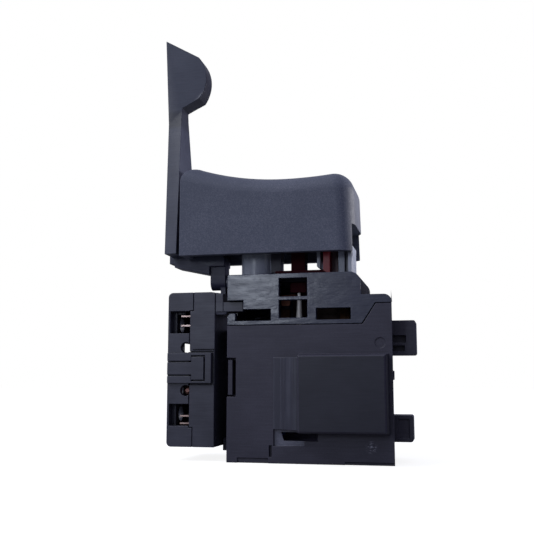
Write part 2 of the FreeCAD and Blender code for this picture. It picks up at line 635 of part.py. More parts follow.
def upper_frame():
    shell = prism_xz(upper_outline(), FRONT, BACK).common(plan(FRONT, BACK))
    chamber = box(LEFT + WALL, CHAMBER_RIGHT, FRONT + WALL, BACK - WALL, 0, CHAMBER_TOP)
    shell = shell.cut(chamber)
    bore_radius = TUBE_RADIUS + RUNNING_GAP
    collar = rod(bore_radius + COLLAR_WALL, V(TUBE_X, 0, CHAMBER_TOP - COLLAR_DROP),
                 V(TUBE_X, 0, CHAMBER_TOP))
    collar = collar.common(box(LEFT, CHAMBER_RIGHT, FRONT, BACK, 0, FAR))
    boss = rod(BOSS_RADIUS, V(BOSS_LEFT, 0, PIVOT_Z), V(LEFT + WALL / 2, 0, PIVOT_Z))
    gusset = box(BOSS_LEFT, LEFT + WALL / 2, -WALL / 2, WALL / 2,
                 MODULE_TOP + GUSSET_GAP, PIVOT_Z - LEVER_PIN_RADIUS - FIT_GAP)
    frame = joined(shell, collar, boss, gusset)
    window_right = WINDOW_LEFT + WINDOW_WIDTH
    cuts = [
        rod(bore_radius, V(TUBE_X, 0, 0), V(TUBE_X, 0, FAR)),
        rod(LEVER_PIN_RADIUS + LEVER_PIN_GAP, V(BOSS_LEFT - 1, 0, PIVOT_Z), V(LEFT, 0, PIVOT_Z)),
        box(TOP_OPENING_LEFT, TOP_OPENING_RIGHT, -TOP_OPENING_HALF_DEPTH,
            TOP_OPENING_HALF_DEPTH, CHAMBER_TOP - 1, FAR),
        box(TUBE_X, TUBE_KEY_RIGHT + FIT_GAP, -TUBE_KEY_HALF_WIDTH - RUNNING_GAP * 2,
            TUBE_KEY_HALF_WIDTH + RUNNING_GAP * 2, COVER_HEIGHT + 1, FAR),
        front_window(WINDOW_LEFT, window_right, UPPER_WINDOW_BOTTOM, UPPER_WINDOW_TOP),
        front_window(WINDOW_LEFT, window_right, LOWER_WINDOW_BOTTOM,
                     UPPER_WINDOW_BOTTOM - WINDOW_BAR),
        front_window(LEFT + POST_WIDTH, LEFT_WINDOW_RIGHT, SIDE_WINDOW_BOTTOM, SIDE_WINDOW_TOP),
        front_window(RIGHT_WINDOW_LEFT, RIGHT_WINDOW_RIGHT, SIDE_WINDOW_BOTTOM,
                     SIDE_WINDOW_TOP),
        box(LEFT - 1, LEFT + STEP_WIDTH, FRONT - 1, TONGUE_BACK + TONGUE_GAP,
            STEP_BOTTOM, STEP_TOP),
        prism_xz([(LEFT - 1, STEP_BOTTOM - POST_CHAMFER), (LEFT, STEP_BOTTOM - POST_CHAMFER),
                  (LEFT + POST_CHAMFER, STEP_BOTTOM), (LEFT - 1, STEP_BOTTOM)],
                 FRONT - 1, FRONT + WALL * 2),
    ]
    for tool in cuts:
        frame = frame.cut(tool)
    return frame


def contact_base():
    plate = box(LEFT + WALL + FIT_GAP, BASE_RIGHT - FIT_GAP, FRONT + WALL + FIT_GAP,
                BACK - WALL - FIT_GAP, BASE_BOTTOM, COVER_HEIGHT)
    spigot = rod(SPRING_SPIGOT_RADIUS, V(TUBE_X, 0, COVER_HEIGHT - 1),
                 V(TUBE_X, 0, COVER_HEIGHT + SPRING_SPIGOT_HEIGHT))
    plate = joined(plate, spigot)
    plate = plate.cut(rod(PIN_FOOT_RADIUS, V(PIN_X, PIN_Y, COVER_HEIGHT - PIN_SEAT),
                          V(PIN_X, PIN_Y, FAR)))
    for x in contact_leg_places():
        plate = plate.cut(contact_leg(x, COVER_HEIGHT + 1))
    return plate


def contact_leg_places():
    middle = BLADE_OUTER_X - BLADE_WIDTH / 2
    return (-middle, middle)


def contact_leg(x, top):
    return box(x - STRAP_THICKNESS / 2, x + STRAP_THICKNESS / 2, -CONTACT_LEG_WIDTH / 2,
               CONTACT_LEG_WIDTH / 2, BASE_BOTTOM - CONTACT_LEG_DROP, top)


def fixed_contact(side, left, right, front):
    """A brass strap with two jaws that the moving blade drops between."""
    strap_top = COVER_HEIGHT + STRAP_THICKNESS
    strap = box(left, right, front, STRAP_HALF_DEPTH, COVER_HEIGHT, strap_top)
    near = BLADE_THICKNESS / 2 + JAW_GAP
    inner = side * (BLADE_OUTER_X - BLADE_WIDTH)
    outer = side * BLADE_OUTER_X
    x0, x1 = min(inner, outer), max(inner, outer)
    jaws = [box(x0, x1, near, near + JAW_THICKNESS, strap_top - STRAP_THICKNESS / 2, JAW_TOP),
            box(x0, x1, -near - JAW_THICKNESS, -near, strap_top - STRAP_THICKNESS / 2, JAW_TOP)]
    leg = contact_leg((x0 + x1) / 2, COVER_HEIGHT + STRAP_THICKNESS / 2)
    return joined(strap, leg, *jaws)


def line_contact():
    return fixed_contact(-1, LEFT_STRAP_LEFT, LEFT_STRAP_RIGHT, -STRAP_HALF_DEPTH)


def load_contact():
    return fixed_contact(1, RIGHT_STRAP_LEFT, RIGHT_STRAP_RIGHT, RIGHT_STRAP_FRONT)


def bridge_level():
    """Underside of the moving bridge: it rests on the sill of the carrier's channel."""
    return CHANNEL_BOTTOM + CHANNEL_SILL


def moving_bridge():
    z = bridge_level()
    strip_end = BLADE_OUTER_X - BLADE_WIDTH - FIT_GAP
    strip = box(-strip_end, strip_end, -BRIDGE_HALF_WIDTH, BRIDGE_HALF_WIDTH,
                z, z + BRIDGE_THICKNESS)
    foot = z - BLADE_DROP
    blades = []
    for side in (-1, 1):
        root, tip = side * (strip_end - WALL), side * BLADE_OUTER_X
        inner = side * (BLADE_OUTER_X - BLADE_WIDTH)
        corners = [(root, z), (inner, z), (inner, foot, SMALL_ROUNDING), (tip, foot, SMALL_ROUNDING),
                   (tip, z + BRIDGE_THICKNESS), (root, z + BRIDGE_THICKNESS)]
        blades.append(prism_xz(corners, -BLADE_THICKNESS / 2, BLADE_THICKNESS / 2))
    return joined(strip, *blades)


def guide_pin():
    foot = V(PIN_X, PIN_Y, COVER_HEIGHT - PIN_SEAT)
    shank = rod(PIN_FOOT_RADIUS, foot, V(PIN_X, PIN_Y, COVER_HEIGHT))
    taper = Part.makeCone(PIN_FOOT_RADIUS, PIN_TIP_RADIUS, PIN_TOP - COVER_HEIGHT,
                          V(PIN_X, PIN_Y, COVER_HEIGHT))
    return joined(shank, taper)


def return_spring():
    return coil(RETURN_SPRING_RADIUS, RETURN_WIRE_RADIUS, RETURN_TURNS, TUBE_X, 0,
                COVER_HEIGHT, TUBE_BORE_TOP)


def contact_spring():
    return coil(CONTACT_SPRING_RADIUS, CONTACT_WIRE_RADIUS, CONTACT_TURNS, SPRING_POCKET_X, 0,
                bridge_level() + BRIDGE_THICKNESS, SPRING_POCKET_TOP)


def contact_carrier():
    half = CARRIER_BODY_HALF_DEPTH
    flange = box(FLANGE_LEFT, FLANGE_RIGHT, -CARRIER_HALF_DEPTH, CARRIER_HALF_DEPTH,
                 FLANGE_BOTTOM, FLANGE_TOP)
    stem = box(STEM_LEFT, STEM_RIGHT, -STEM_HALF_DEPTH, STEM_HALF_DEPTH,
               FLANGE_TOP - JOIN_OVERLAP, SLIDE_PLATE_BOTTOM)
    bar_front = box(BAR_LEFT, BAR_STEP_X, -CARRIER_HALF_DEPTH, BAR_STEP_Y + WALL,
                    FLANGE_BOTTOM, SLIDE_PLATE_BOTTOM)
    bar_rear = box(BAR_LEFT, BAR_RIGHT, BAR_STEP_Y, CARRIER_HALF_DEPTH,
                   FLANGE_BOTTOM, SLIDE_PLATE_BOTTOM)
    body = box(CARRIER_LEFT, CARRIER_RIGHT, -half, half, CHANNEL_BOTTOM,
               FLANGE_BOTTOM + JOIN_OVERLAP)
    channel = box(CARRIER_LEFT - 1, CARRIER_RIGHT + 1, -BRIDGE_HALF_WIDTH - FIT_GAP,
                  BRIDGE_HALF_WIDTH + FIT_GAP, CHANNEL_BOTTOM - 1, CARRIER_BODY_BOTTOM)
    sill = box(CARRIER_LEFT + WALL, CARRIER_RIGHT - WALL, -half, half, CHANNEL_BOTTOM,
               bridge_level())
    pocket = rod(SPRING_POCKET_RADIUS, V(SPRING_POCKET_X, 0, CHANNEL_BOTTOM),
                 V(SPRING_POCKET_X, 0, SPRING_POCKET_TOP))
    ear_left, ear_right = PIN_X - EAR_WIDTH / 2, PIN_X + EAR_WIDTH / 2
    ear = prism_xy([(ear_left, -half + SMALL_ROUNDING), (ear_left, EAR_FRONT, SMALL_ROUNDING),
                    (ear_right, EAR_FRONT, SMALL_ROUNDING), (ear_right, -half + SMALL_ROUNDING)],
                   EAR_BOTTOM, EAR_TOP)
    ear_bore = rod(EAR_BORE_RADIUS, V(PIN_X, PIN_Y, 0), V(PIN_X, PIN_Y, EAR_TOP + 1))
    body = body.cut(channel).cut(pocket)
    carrier = joined(body, sill, flange, stem, bar_front, bar_rear, ear)
    return carrier.cut(ear_bore)


def track_board():
    return box(TRACK_LEFT, TRACK_RIGHT, TRACK_FRONT, TRACK_FRONT + TRACK_THICKNESS,
               COVER_HEIGHT, CHAMBER_TOP)


def wiper():
    """A bent spring leaf on the back of the carrier that rides on the track board."""
    seat = CARRIER_BODY_HALF_DEPTH
    tip = TRACK_FRONT - FIT_GAP / 2
    t = WIPER_THICKNESS
    corners = [(seat, CARRIER_BODY_BOTTOM), (seat, FLANGE_BOTTOM), (seat + t, FLANGE_BOTTOM),
               (seat + t, CARRIER_BODY_BOTTOM + WALL), (tip, CHANNEL_BOTTOM),
               (tip - t * 2, CHANNEL_BOTTOM)]
    return prism_yz(corners, WIPER_LEFT, WIPER_LEFT + WIPER_WIDTH)


def saddle_height(x, roof):
    """Height of the finger saddle, or of the ceiling that lies a roof's thickness under it."""
    right = x > TRIGGER_SADDLE_X
    radius = (TRIGGER_SADDLE_RIGHT_RADIUS if right else TRIGGER_SADDLE_LEFT_RADIUS) + roof
    run = x - TRIGGER_SADDLE_X
    return TRIGGER_SADDLE_Z - roof + radius - math.sqrt(radius * radius - run * run)


def trigger_block(inset, bottom, rounding):
    """The trigger's outer form, or the room inside it: straight ends and a finger saddle."""
    roof = TRIGGER_ROOF if inset else 0
    half = TRIGGER_WIDTH / 2 - inset

    def on_saddle(x):
        return V(x, -half, saddle_height(x, roof))
    left, right = TRIGGER_LEFT + inset, TRIGGER_RIGHT - inset
    spare = left - 2 * rounding
    crest = right - TRIGGER_END_DRAFT
    foot_left, foot_right = V(spare, -half, bottom), V(right, -half, bottom)
    low = on_saddle(TRIGGER_SADDLE_X)
    edges = [Part.LineSegment(foot_left, on_saddle(spare)),
             Part.Arc(on_saddle(spare), on_saddle((spare + TRIGGER_SADDLE_X) / 2), low),
             Part.Arc(low, on_saddle((crest + TRIGGER_SADDLE_X) / 2), on_saddle(crest)),
             Part.LineSegment(on_saddle(crest), foot_right),
             Part.LineSegment(foot_right, foot_left)]
    face = Part.Face(Part.Wire([edge.toShape() for edge in edges]))
    block = face.extrude(V(0, 2 * half, 0))
    above = TRIGGER_SADDLE_Z - roof - rounding

    def on_right_end(edge):
        return (runs_along(edge, V(0, 1, 0)) and edge.BoundBox.ZMin > above
                and edge.BoundBox.XMin > TRIGGER_SADDLE_X + 1)

    def on_crest(edge):
        return edge.BoundBox.YLength < 1e-4 and edge.BoundBox.ZMin > above
    end_rounding = rounding * TRIGGER_END_ROUNDING / TRIGGER_CREST_ROUNDING
    if inset == 0:
        block = block.makeFillet(end_rounding, edges_where(block, on_right_end))
        block = block.makeFillet(rounding, edges_where(block, on_crest))
    block = block.cut(box(spare - 1, left, -FAR, FAR, 0, FAR * 2))
    return block.cut(left_corner_tool(left, TRIGGER_LEFT_ROUNDING - inset, roof))


def left_corner_tool(left, radius, roof):
    """What is cut off so that the left end runs into the saddle in one round corner."""
    saddle_radius = TRIGGER_SADDLE_LEFT_RADIUS + roof
    x = left + radius
    run = x - TRIGGER_SADDLE_X
    z = TRIGGER_SADDLE_Z - roof + saddle_radius
    z -= math.sqrt((saddle_radius + radius) ** 2 - run * run)
    outside = box(left - 1, x, -FAR, FAR, z, FAR * 2)
    return outside.cut(rod(radius, V(x, -FAR, z), V(x, FAR, z)))


def trigger():
    block = trigger_block(0, TRIGGER_BOTTOM, TRIGGER_CREST_ROUNDING)
    inner_half = TRIGGER_WIDTH / 2 - TRIGGER_WALL
    room = trigger_block(TRIGGER_WALL, TRIGGER_BOTTOM - 1, TRIGGER_ROOM_ROUNDING)
    shell = block.cut(room)
    ribs = []
    for x in RIB_PLACES:
        ribs.append(box(x - RIB_THICKNESS / 2, x + RIB_THICKNESS / 2, -inner_half, inner_half,
                        SLIDE_PLATE_TOP, FAR + WALL))
    bars = Part.makeCompound(ribs).common(room)
    shell = joined(shell, *bars.Solids)
    end_notch = box(TRIGGER_RIGHT - TRIGGER_WALL - 1, TRIGGER_RIGHT + 1, -inner_half,
                    inner_half, 0, SLIDE_PLATE_TOP + FIT_GAP * 2)
    swing = math.radians(LEVER_SWING)
    rise = ARM_TOP - PIVOT_Z
    reach = ARM_HALF_WIDTH * math.cos(swing) + rise * math.sin(swing) + LEVER_NOTCH_CLEARANCE
    top = PIVOT_Z + rise * math.cos(swing) + ARM_HALF_WIDTH * math.sin(swing)
    lever_notch = box(TRIGGER_LEFT - 1, TUBE_X - TUBE_RADIUS - FIT_GAP, -reach, reach, 0,
                      top + TRIGGER_TRAVEL + LEVER_NOTCH_CLEARANCE)
    return shell.cut(end_notch).cut(lever_notch)


def trigger_slide():
    inner_half = TRIGGER_WIDTH / 2 - TRIGGER_WALL - FIT_GAP
    tube = rod(TUBE_RADIUS, V(TUBE_X, 0, TUBE_BOTTOM), V(TUBE_X, 0, SLIDE_PLATE_TOP))
    strut_right = STRUT_LEFT + STRUT_WIDTH
    plate = box(TUBE_X - TUBE_RADIUS, STRUT_LEFT + JOIN_OVERLAP, -inner_half, inner_half,
                SLIDE_PLATE_BOTTOM, SLIDE_PLATE_TOP)
    cheek_right = CHEEK_LEFT + CHEEK_THICKNESS
    cheek = prism_xz([(CHEEK_LEFT, SLIDE_PLATE_TOP), (CHEEK_LEFT, CHEEK_BOTTOM + CHEEK_CHAMFER),
                      (CHEEK_LEFT + CHEEK_CHAMFER, CHEEK_BOTTOM), (cheek_right, CHEEK_BOTTOM),
                      (cheek_right, SLIDE_PLATE_TOP)], -CHEEK_DEPTH / 2, CHEEK_DEPTH / 2)
    strut = box(STRUT_LEFT, strut_right, GUIDE_POST_BACK - WALL,
                CARRIER_HALF_DEPTH, STRUT_BOTTOM, SLIDE_PLATE_TOP)
    post_left = strut_right + GUIDE_POST_GROOVE
    post_right = post_left + GUIDE_POST_WIDTH
    post = box(post_left, post_right, GUIDE_POST_FRONT, GUIDE_POST_BACK, STRUT_BOTTOM,
               GUIDE_POST_TOP)
    web = box(strut_right - JOIN_OVERLAP, post_right, GUIDE_POST_BACK - JOIN_OVERLAP,
              CARRIER_HALF_DEPTH, STRUT_BOTTOM, GUIDE_POST_TOP)
    key = box(TUBE_X, TUBE_KEY_RIGHT, -TUBE_KEY_HALF_WIDTH, TUBE_KEY_HALF_WIDTH,
              FLANGE_TOP, SLIDE_PLATE_TOP)
    slide = joined(tube, plate, cheek, strut, post, web, key)
    return slide.cut(rod(TUBE_BORE_RADIUS, V(TUBE_X, 0, 0), V(TUBE_X, 0, TUBE_BORE_TOP)))


def lever_left(z):
    share = (z - LEVER_FOOT) / (LEVER_TOP - LEVER_FOOT)
    return LEVER_PLATE_LEFT_FOOT + (LEVER_PLATE_LEFT_TOP - LEVER_PLATE_LEFT_FOOT) * share


def lever_blade():
    """The upright plate with its thumb pad: a side outline met by a front outline that flares
    from a slanted line under the pad to the foot."""
    corners = [V(lever_left(LEVER_FOOT), 0, LEVER_FOOT), V(LEVER_PLATE_LEFT_TOP, 0, LEVER_TOP),
               V(PAD_BEND_X, 0, PAD_BEND_Z), V(PAD_REACH_X, 0, PAD_REACH_Z),
               V(PAD_LOWER_X, 0, PAD_LOWER_Z), V(LEVER_PLATE_RIGHT_TOP, 0, PAD_FOOT_Z),
               V(LEVER_PLATE_RIGHT_TOP, 0, NECK_Z), V(LEVER_PLATE_RIGHT_FOOT, 0, LEVER_FOOT)]
    foot, top, bend, reach, lower, root, neck, toe = corners
    edges = [Part.LineSegment(foot, top), Part.LineSegment(top, bend),
             Part.Arc(bend, reach, lower), Part.LineSegment(lower, root),
             Part.LineSegment(root, neck), Part.LineSegment(neck, toe),
             Part.LineSegment(toe, foot)]
    side = Part.Face(Part.Wire([edge.toShape() for edge in edges]))
    side.translate(V(0, -2 * FOOT_HALF_WIDTH, 0))
    side = side.extrude(V(0, 4 * FOOT_HALF_WIDTH, 0))
    run = PAD_REACH_X + 1 - LEVER_PLATE_LEFT_TOP
    rise = run * FLARE_SLANT
    growth = (FOOT_HALF_WIDTH - PAD_HALF_THICKNESS) / (FLARE_Z - LEVER_FOOT)
    toe_half = FOOT_HALF_WIDTH + growth * rise
    flare = [(-toe_half, LEVER_FOOT - rise), (toe_half, LEVER_FOOT - rise),
             (PAD_HALF_THICKNESS, FLARE_Z), (PAD_HALF_THICKNESS, LEVER_TOP + 1),
             (-PAD_HALF_THICKNESS, LEVER_TOP + 1), (-PAD_HALF_THICKNESS, FLARE_Z)]
    front = rounded_face(flare, lambda p: V(LEVER_PLATE_LEFT_TOP, p.x, p.y))
    return side.common(front.extrude(V(run, 0, rise)))


def direction_lever():
    hub_right = BOSS_LEFT - HUB_GAP
    arm = prism_xz([(ARM_LEFT, ARM_STEP_Z), (ARM_STEP_X, ARM_STEP_Z),
                    (ARM_STEP_X, ARM_STEP_Z - ARM_STEP_DROP), (HUB_LEFT, ARM_END_Z),
                    (HUB_LEFT, PIVOT_Z), (hub_right, PIVOT_Z), (hub_right, ARM_TOP, WALL),
                    (ARM_LEFT, ARM_TOP)], -ARM_HALF_WIDTH, ARM_HALF_WIDTH)
    web = box(HUB_LEFT, hub_right, -BOSS_RADIUS, BOSS_RADIUS, PIVOT_Z, ARM_STEP_Z)
    arm = arm.cut(box(HUB_LEFT, FAR, -FAR, -BOSS_RADIUS, 0, ARM_STEP_Z - ARM_STEP_DROP))
    arm = arm.cut(box(HUB_LEFT, FAR, BOSS_RADIUS, FAR, 0, ARM_STEP_Z - ARM_STEP_DROP))
    hub = rod(BOSS_RADIUS, V(HUB_LEFT, 0, PIVOT_Z), V(hub_right, 0, PIVOT_Z))
    tail = box(hub_right - TAIL_THICKNESS, hub_right, -TAIL_HALF_WIDTH, TAIL_HALF_WIDTH,
               MODULE_TOP - MODULE_WALL, PIVOT_Z)
    neck = box(hub_right - TAIL_THICKNESS, hub_right, -TAIL_NECK_HALF_WIDTH,
               TAIL_NECK_HALF_WIDTH, TAIL_TIP_Z, MODULE_TOP - MODULE_WALL + 1)
    tip = rod(TAIL_TIP_RADIUS, V(hub_right - TAIL_THICKNESS, 0, TAIL_TIP_Z),
              V(hub_right, 0, TAIL_TIP_Z))
    lever = joined(lever_blade(), arm, web, hub, tail, neck, tip)
    return lever.cut(rod(LEVER_PIN_RADIUS, V(HUB_LEFT + WALL, 0, PIVOT_Z),
                         V(FAR, 0, PIVOT_Z)))


def lever_pin():
    return rod(LEVER_PIN_RADIUS, V(HUB_LEFT + WALL, 0, PIVOT_Z),
               V(LEFT - FIT_GAP, 0, PIVOT_Z))


def module_outline(inset):
    shelf = MODULE_NECK_Z if inset else TONGUE_BOTTOM
    right = MODULE_RIGHT - inset
    shelf_right = MODULE_SHELF_RIGHT - inset
    top = MODULE_TOP - inset
    rounding = MODULE_ROUNDING if inset == 0 else 0
    return [(MODULE_LEFT + inset, MODULE_BOTTOM + inset, rounding), (right, MODULE_BOTTOM + inset),
            (right, shelf), (shelf_right, shelf), (shelf_right, top - MODULE_SLOPE_DROP),
            (MODULE_SLOPE_X, top), (MODULE_LEFT + inset, top, rounding)]


def module_cover_outline(gap):
    """Front outline of the module's cover plate, grown by the gap for its seat."""
    left, inner = COVER_EDGE_X - gap, COVER_EDGE_INNER_X - gap
    return [(inner, MODULE_BOTTOM - 1), (inner, COVER_EDGE_LOW_Z - gap),
            (left, COVER_EDGE_LOW_Z - gap), (left, COVER_EDGE_TOP_Z + gap),
            (inner, COVER_EDGE_TOP_Z + gap), (inner, MODULE_TOP + 1), (FAR, MODULE_TOP + 1),
            (FAR, MODULE_BOTTOM - 1)]


def head_box(gap, y0, y1):
    return box(HEAD_LEFT, HEAD_RIGHT + gap, y0, y1, HEAD_BOTTOM - gap, HEAD_TOP + gap)


def cover_seat(gap):
    """Room for the cover plate in the module's front wall."""
    front = -MODULE_HALF_DEPTH
    region = prism_xz(module_cover_outline(gap), front - 1, front + MODULE_WALL)
    return region.common(box(MODULE_LEFT, MODULE_RIGHT + gap, front - 1, front + MODULE_WALL,
                             0, FAR))


def module_case():
    front = -MODULE_HALF_DEPTH
    back = MODULE_HALF_DEPTH
    shell = prism_xz(module_outline(0), front, back)
    room = prism_xz(module_outline(MODULE_WALL), front + MODULE_WALL, back - MODULE_WALL)
    shelf = box(MODULE_LEFT + MODULE_WALL / 2, SLIDER_LEFT + WALL, -SHELF_HALF_DEPTH,
                SHELF_HALF_DEPTH, MODULE_NECK_Z - MODULE_WALL / 2, MODULE_NECK_Z)
    tongue = box(MODULE_SHELF_RIGHT - MODULE_WALL / 2, TONGUE_RIGHT, TONGUE_FRONT, TONGUE_BACK,
                 TONGUE_BOTTOM, TONGUE_TOP)
    stem = box(LATCH_LEFT, HEAD_LEFT + HEAD_OVERLAP, front - LATCH_RISE, front + MODULE_WALL,
               STEM_BOTTOM, STEM_TOP)
    head = head_box(0, front - LATCH_RISE, front - FIT_GAP)
    case = joined(shell.cut(room), shelf, tongue).cut(cover_seat(COVER_GAP))
    entries = [rod(WIRE_ENTRY_RADIUS, V(MODULE_LEFT - 1, WIRE_ENTRY_Y, z),
                   V(MODULE_LEFT + MODULE_WALL + 1, WIRE_ENTRY_Y, z))
               for z in WIRE_ENTRY_HEIGHTS]
    probes = [rod(PROBE_HOLE_RADIUS, V(PROBE_HOLE_X, front - 1, z),
                  V(PROBE_HOLE_X, front + MODULE_WALL + 1, z)) for z in PROBE_HOLE_HEIGHTS]
    windows = [box(MODULE_WINDOW_LEFT, MODULE_WINDOW_RIGHT, front - 1, front + MODULE_WALL + 1,
                   z0, z1) for z0, z1 in (UPPER_MODULE_WINDOW, LOWER_MODULE_WINDOW)]
    hub_right = BOSS_LEFT - HUB_GAP
    tail_slot = box(hub_right - TAIL_THICKNESS - TAIL_SLOT_GAP, hub_right + TAIL_SLOT_GAP,
                    -TAIL_SLOT_HALF_LENGTH, TAIL_SLOT_HALF_LENGTH,
                    MODULE_TOP - MODULE_WALL * 2, MODULE_TOP + 1)
    side_slot = box(MODULE_LEFT - 1, MODULE_LEFT + MODULE_WALL + 1, SIDE_SLOT_FRONT,
                    SIDE_SLOT_BACK, SIDE_SLOT_BOTTOM, SIDE_SLOT_TOP)
    for tool in (*entries, *probes, *windows, tail_slot, side_slot):
        case = case.cut(tool)
    return joined(case, stem, head)


def module_cover():
    front = -MODULE_HALF_DEPTH
    plate = cover_seat(0).common(prism_xz(module_outline(0), front, front + MODULE_WALL))
    groove = box(LATCH_LEFT, LATCH_RIGHT + LATCH_GROOVE, front - 1, front + LATCH_GROOVE,
                 LATCH_BOTTOM - LATCH_GROOVE, LATCH_TOP + LATCH_GROOVE)
    land = box(LATCH_LEFT, LATCH_RIGHT, front, front + LATCH_GROOVE, LATCH_BOTTOM, LATCH_TOP)
    plate = plate.cut(groove.cut(land))
    proud = front - LATCH_RISE
    frame = box(LATCH_LEFT, LATCH_RIGHT, proud, front, LATCH_BOTTOM, LATCH_TOP)
    stem_room = box(LATCH_LEFT - 1, HEAD_LEFT, proud - 1, front + 1, STEM_BOTTOM - LATCH_GAP,
                    STEM_TOP + LATCH_GAP)
    frame = frame.cut(stem_room)
    cover = joined(plate, frame)
    cover = cover.cut(head_box(LATCH_GAP, proud - 1, front))
    corner = box(COVER_EDGE_X - 1, HEAD_LEFT, front - FIT_GAP, front + 1,
                 STEM_BOTTOM - LATCH_GAP, STEM_TOP + LATCH_GAP)
    stem_cut = box(COVER_EDGE_X - 1, HEAD_LEFT + HEAD_OVERLAP + FIT_GAP, front - 1,
                   front + MODULE_WALL + 1, STEM_BOTTOM - FIT_GAP, STEM_TOP + FIT_GAP)
    line = box(COVER_EDGE_INNER_X, MODULE_RIGHT + 1, front - 1, front + FIT_GAP * 2,
               COVER_LINE_Z, COVER_LINE_Z + FIT_GAP * 2)
    return cover.cut(corner.common(stem_cut)).cut(stem_cut).cut(line)


def fork_right():
    return BOSS_LEFT - HUB_GAP + TAIL_SLOT_GAP


def changeover_slider():
    bottom = MODULE_NECK_Z + SLIDER_GAP
    bar = box(SLIDER_LEFT, fork_right(), -SLIDER_HALF_DEPTH, SLIDER_HALF_DEPTH, bottom,
              SLIDER_TOP)
    fork = box(fork_right() - TAIL_THICKNESS - TAIL_SLOT_GAP * 2, FAR,
               -TAIL_TIP_RADIUS - FORK_GAP, TAIL_TIP_RADIUS + FORK_GAP,
               TAIL_TIP_Z - TAIL_TIP_RADIUS - FORK_GAP, FAR)
    return bar.cut(fork)


def changeover_strips():
    """Two sprung brass strips under the slider that swap the motor leads."""
    strips = []
    for side in (-1, 1):
        middle = side * CHANGEOVER_STRIP_Y
        strips.append(box(SLIDER_LEFT + WALL * 2, MODULE_RIGHT - MODULE_WALL - WALL,
                          middle - WALL / 2, middle + WALL / 2,
                          MODULE_NECK_Z + SLIDER_GAP - STRAP_THICKNESS,
                          MODULE_NECK_Z + SLIDER_GAP))
    return Part.makeCompound(strips)


def clamp_cage(bottom, height):
    """A folded brass cage that grips a bare wire end, open to the front and back."""
    outer = box(CAGE_LEFT, CAGE_RIGHT, CAGE_FRONT, CAGE_BACK, bottom, bottom + height)
    t = CAGE_THICKNESS
    inner = box(CAGE_LEFT - 1, CAGE_RIGHT - t, CAGE_FRONT - 1, CAGE_BACK + 1, bottom + t,
                bottom + height - t)
    return outer.cut(inner)


def motor_bar():
    """The copper bar that joins both cages, with a round stud behind the lower front hole."""
    x0 = CAGE_RIGHT
    bar = box(x0, x0 + STRAP_THICKNESS, CAGE_BACK - WALL * 2, CAGE_BACK, LOWER_CAGE_BOTTOM,
              UPPER_CAGE_BOTTOM + UPPER_CAGE_HEIGHT)
    z = PROBE_HOLE_HEIGHTS[1]
    x = PROBE_HOLE_X - STUD_OFFSET
    back = CAGE_BACK - WALL * 2
    neck = CAGE_FRONT + STUD_TIP_LENGTH
    tab = box(x - STUD_RADIUS, x0 + STRAP_THICKNESS, back, back + STUD_TAB_THICKNESS,
              z - STUD_RADIUS, z + STUD_RADIUS)
    stud = rod(STUD_RADIUS, V(x, neck, z), V(x, back + STUD_TAB_THICKNESS, z))
    tip = Part.makeCone(STUD_TIP_RADIUS, STUD_RADIUS, STUD_TIP_LENGTH, V(x, CAGE_FRONT, z),
                        V(0, 1, 0))
    return joined(bar, tab, stud, tip)


def control_board():
    return box(BOARD_LEFT, BOARD_RIGHT, BOARD_FRONT, BOARD_FRONT + BOARD_THICKNESS,
               BOARD_BOTTOM, BOARD_TOP)


def capacitor():
    back = BOARD_FRONT - BOARD_CLEARANCE
    can = prism_xz([(CAPACITOR_LEFT, CAPACITOR_BOTTOM, SMALL_ROUNDING),
                    (CAPACITOR_RIGHT, CAPACITOR_BOTTOM, SMALL_ROUNDING),
                    (CAPACITOR_RIGHT, CAPACITOR_TOP, SMALL_ROUNDING),
                    (CAPACITOR_LEFT, CAPACITOR_TOP, SMALL_ROUNDING)], CAPACITOR_FRONT, back)
    z = (CAPACITOR_BOTTOM + CAPACITOR_TOP) / 2
    leads = [lead_through(x, z, back - 1)
             for x in (CAPACITOR_LEFT + WALL, CAPACITOR_RIGHT - WALL)]
    return joined(can, *leads)


def lead_through(x, z, front):
    """A square lead that runs back to the board's face."""
    half = LEAD_HALF_WIDTH
    return box(x - half, x + half, front, BOARD_FRONT, z - half, z + half)


def heat_sink():
    """An aluminium plate flat against the back wall."""
    return box(SINK_LEFT, SINK_RIGHT, BACK - WALL - SINK_THICKNESS, BACK - WALL,
               SINK_BOTTOM, SINK_TOP)


def triac():
    back = BACK - WALL - SINK_THICKNESS
    body = box(TRIAC_LEFT, TRIAC_LEFT + TRIAC_WIDTH, back - TAB_THICKNESS - TRIAC_THICKNESS,
               back, TRIAC_BOTTOM, TRIAC_BOTTOM + TRIAC_HEIGHT)
    tab_top = TRIAC_BOTTOM + TRIAC_HEIGHT + TAB_HEIGHT
    middle = TRIAC_LEFT + TRIAC_WIDTH / 2
    tab = box(TRIAC_LEFT, TRIAC_LEFT + TRIAC_WIDTH, back - TAB_THICKNESS, back,
              TRIAC_BOTTOM + TRIAC_HEIGHT - 1, tab_top)
    hole = rod(WALL, V(middle, 0, tab_top - TAB_HEIGHT / 2),
               V(middle, BACK, tab_top - TAB_HEIGHT / 2))
    legs = []
    for step in (-1, 0, 1):
        x = middle + step * TRIAC_LEG_PITCH
        legs.append(box(x - LEAD_HALF_WIDTH, x + LEAD_HALF_WIDTH, BOARD_FRONT + BOARD_THICKNESS,
                        back - TAB_THICKNESS, TRIAC_BOTTOM - WALL,
                        TRIAC_BOTTOM - WALL + LEAD_HALF_WIDTH))
        legs.append(box(x - LEAD_HALF_WIDTH, x + LEAD_HALF_WIDTH, back - TAB_THICKNESS - LEAD_HALF_WIDTH,
                        back - TAB_THICKNESS, TRIAC_BOTTOM - WALL, TRIAC_BOTTOM))
    return joined(body, tab, *legs).cut(hole)


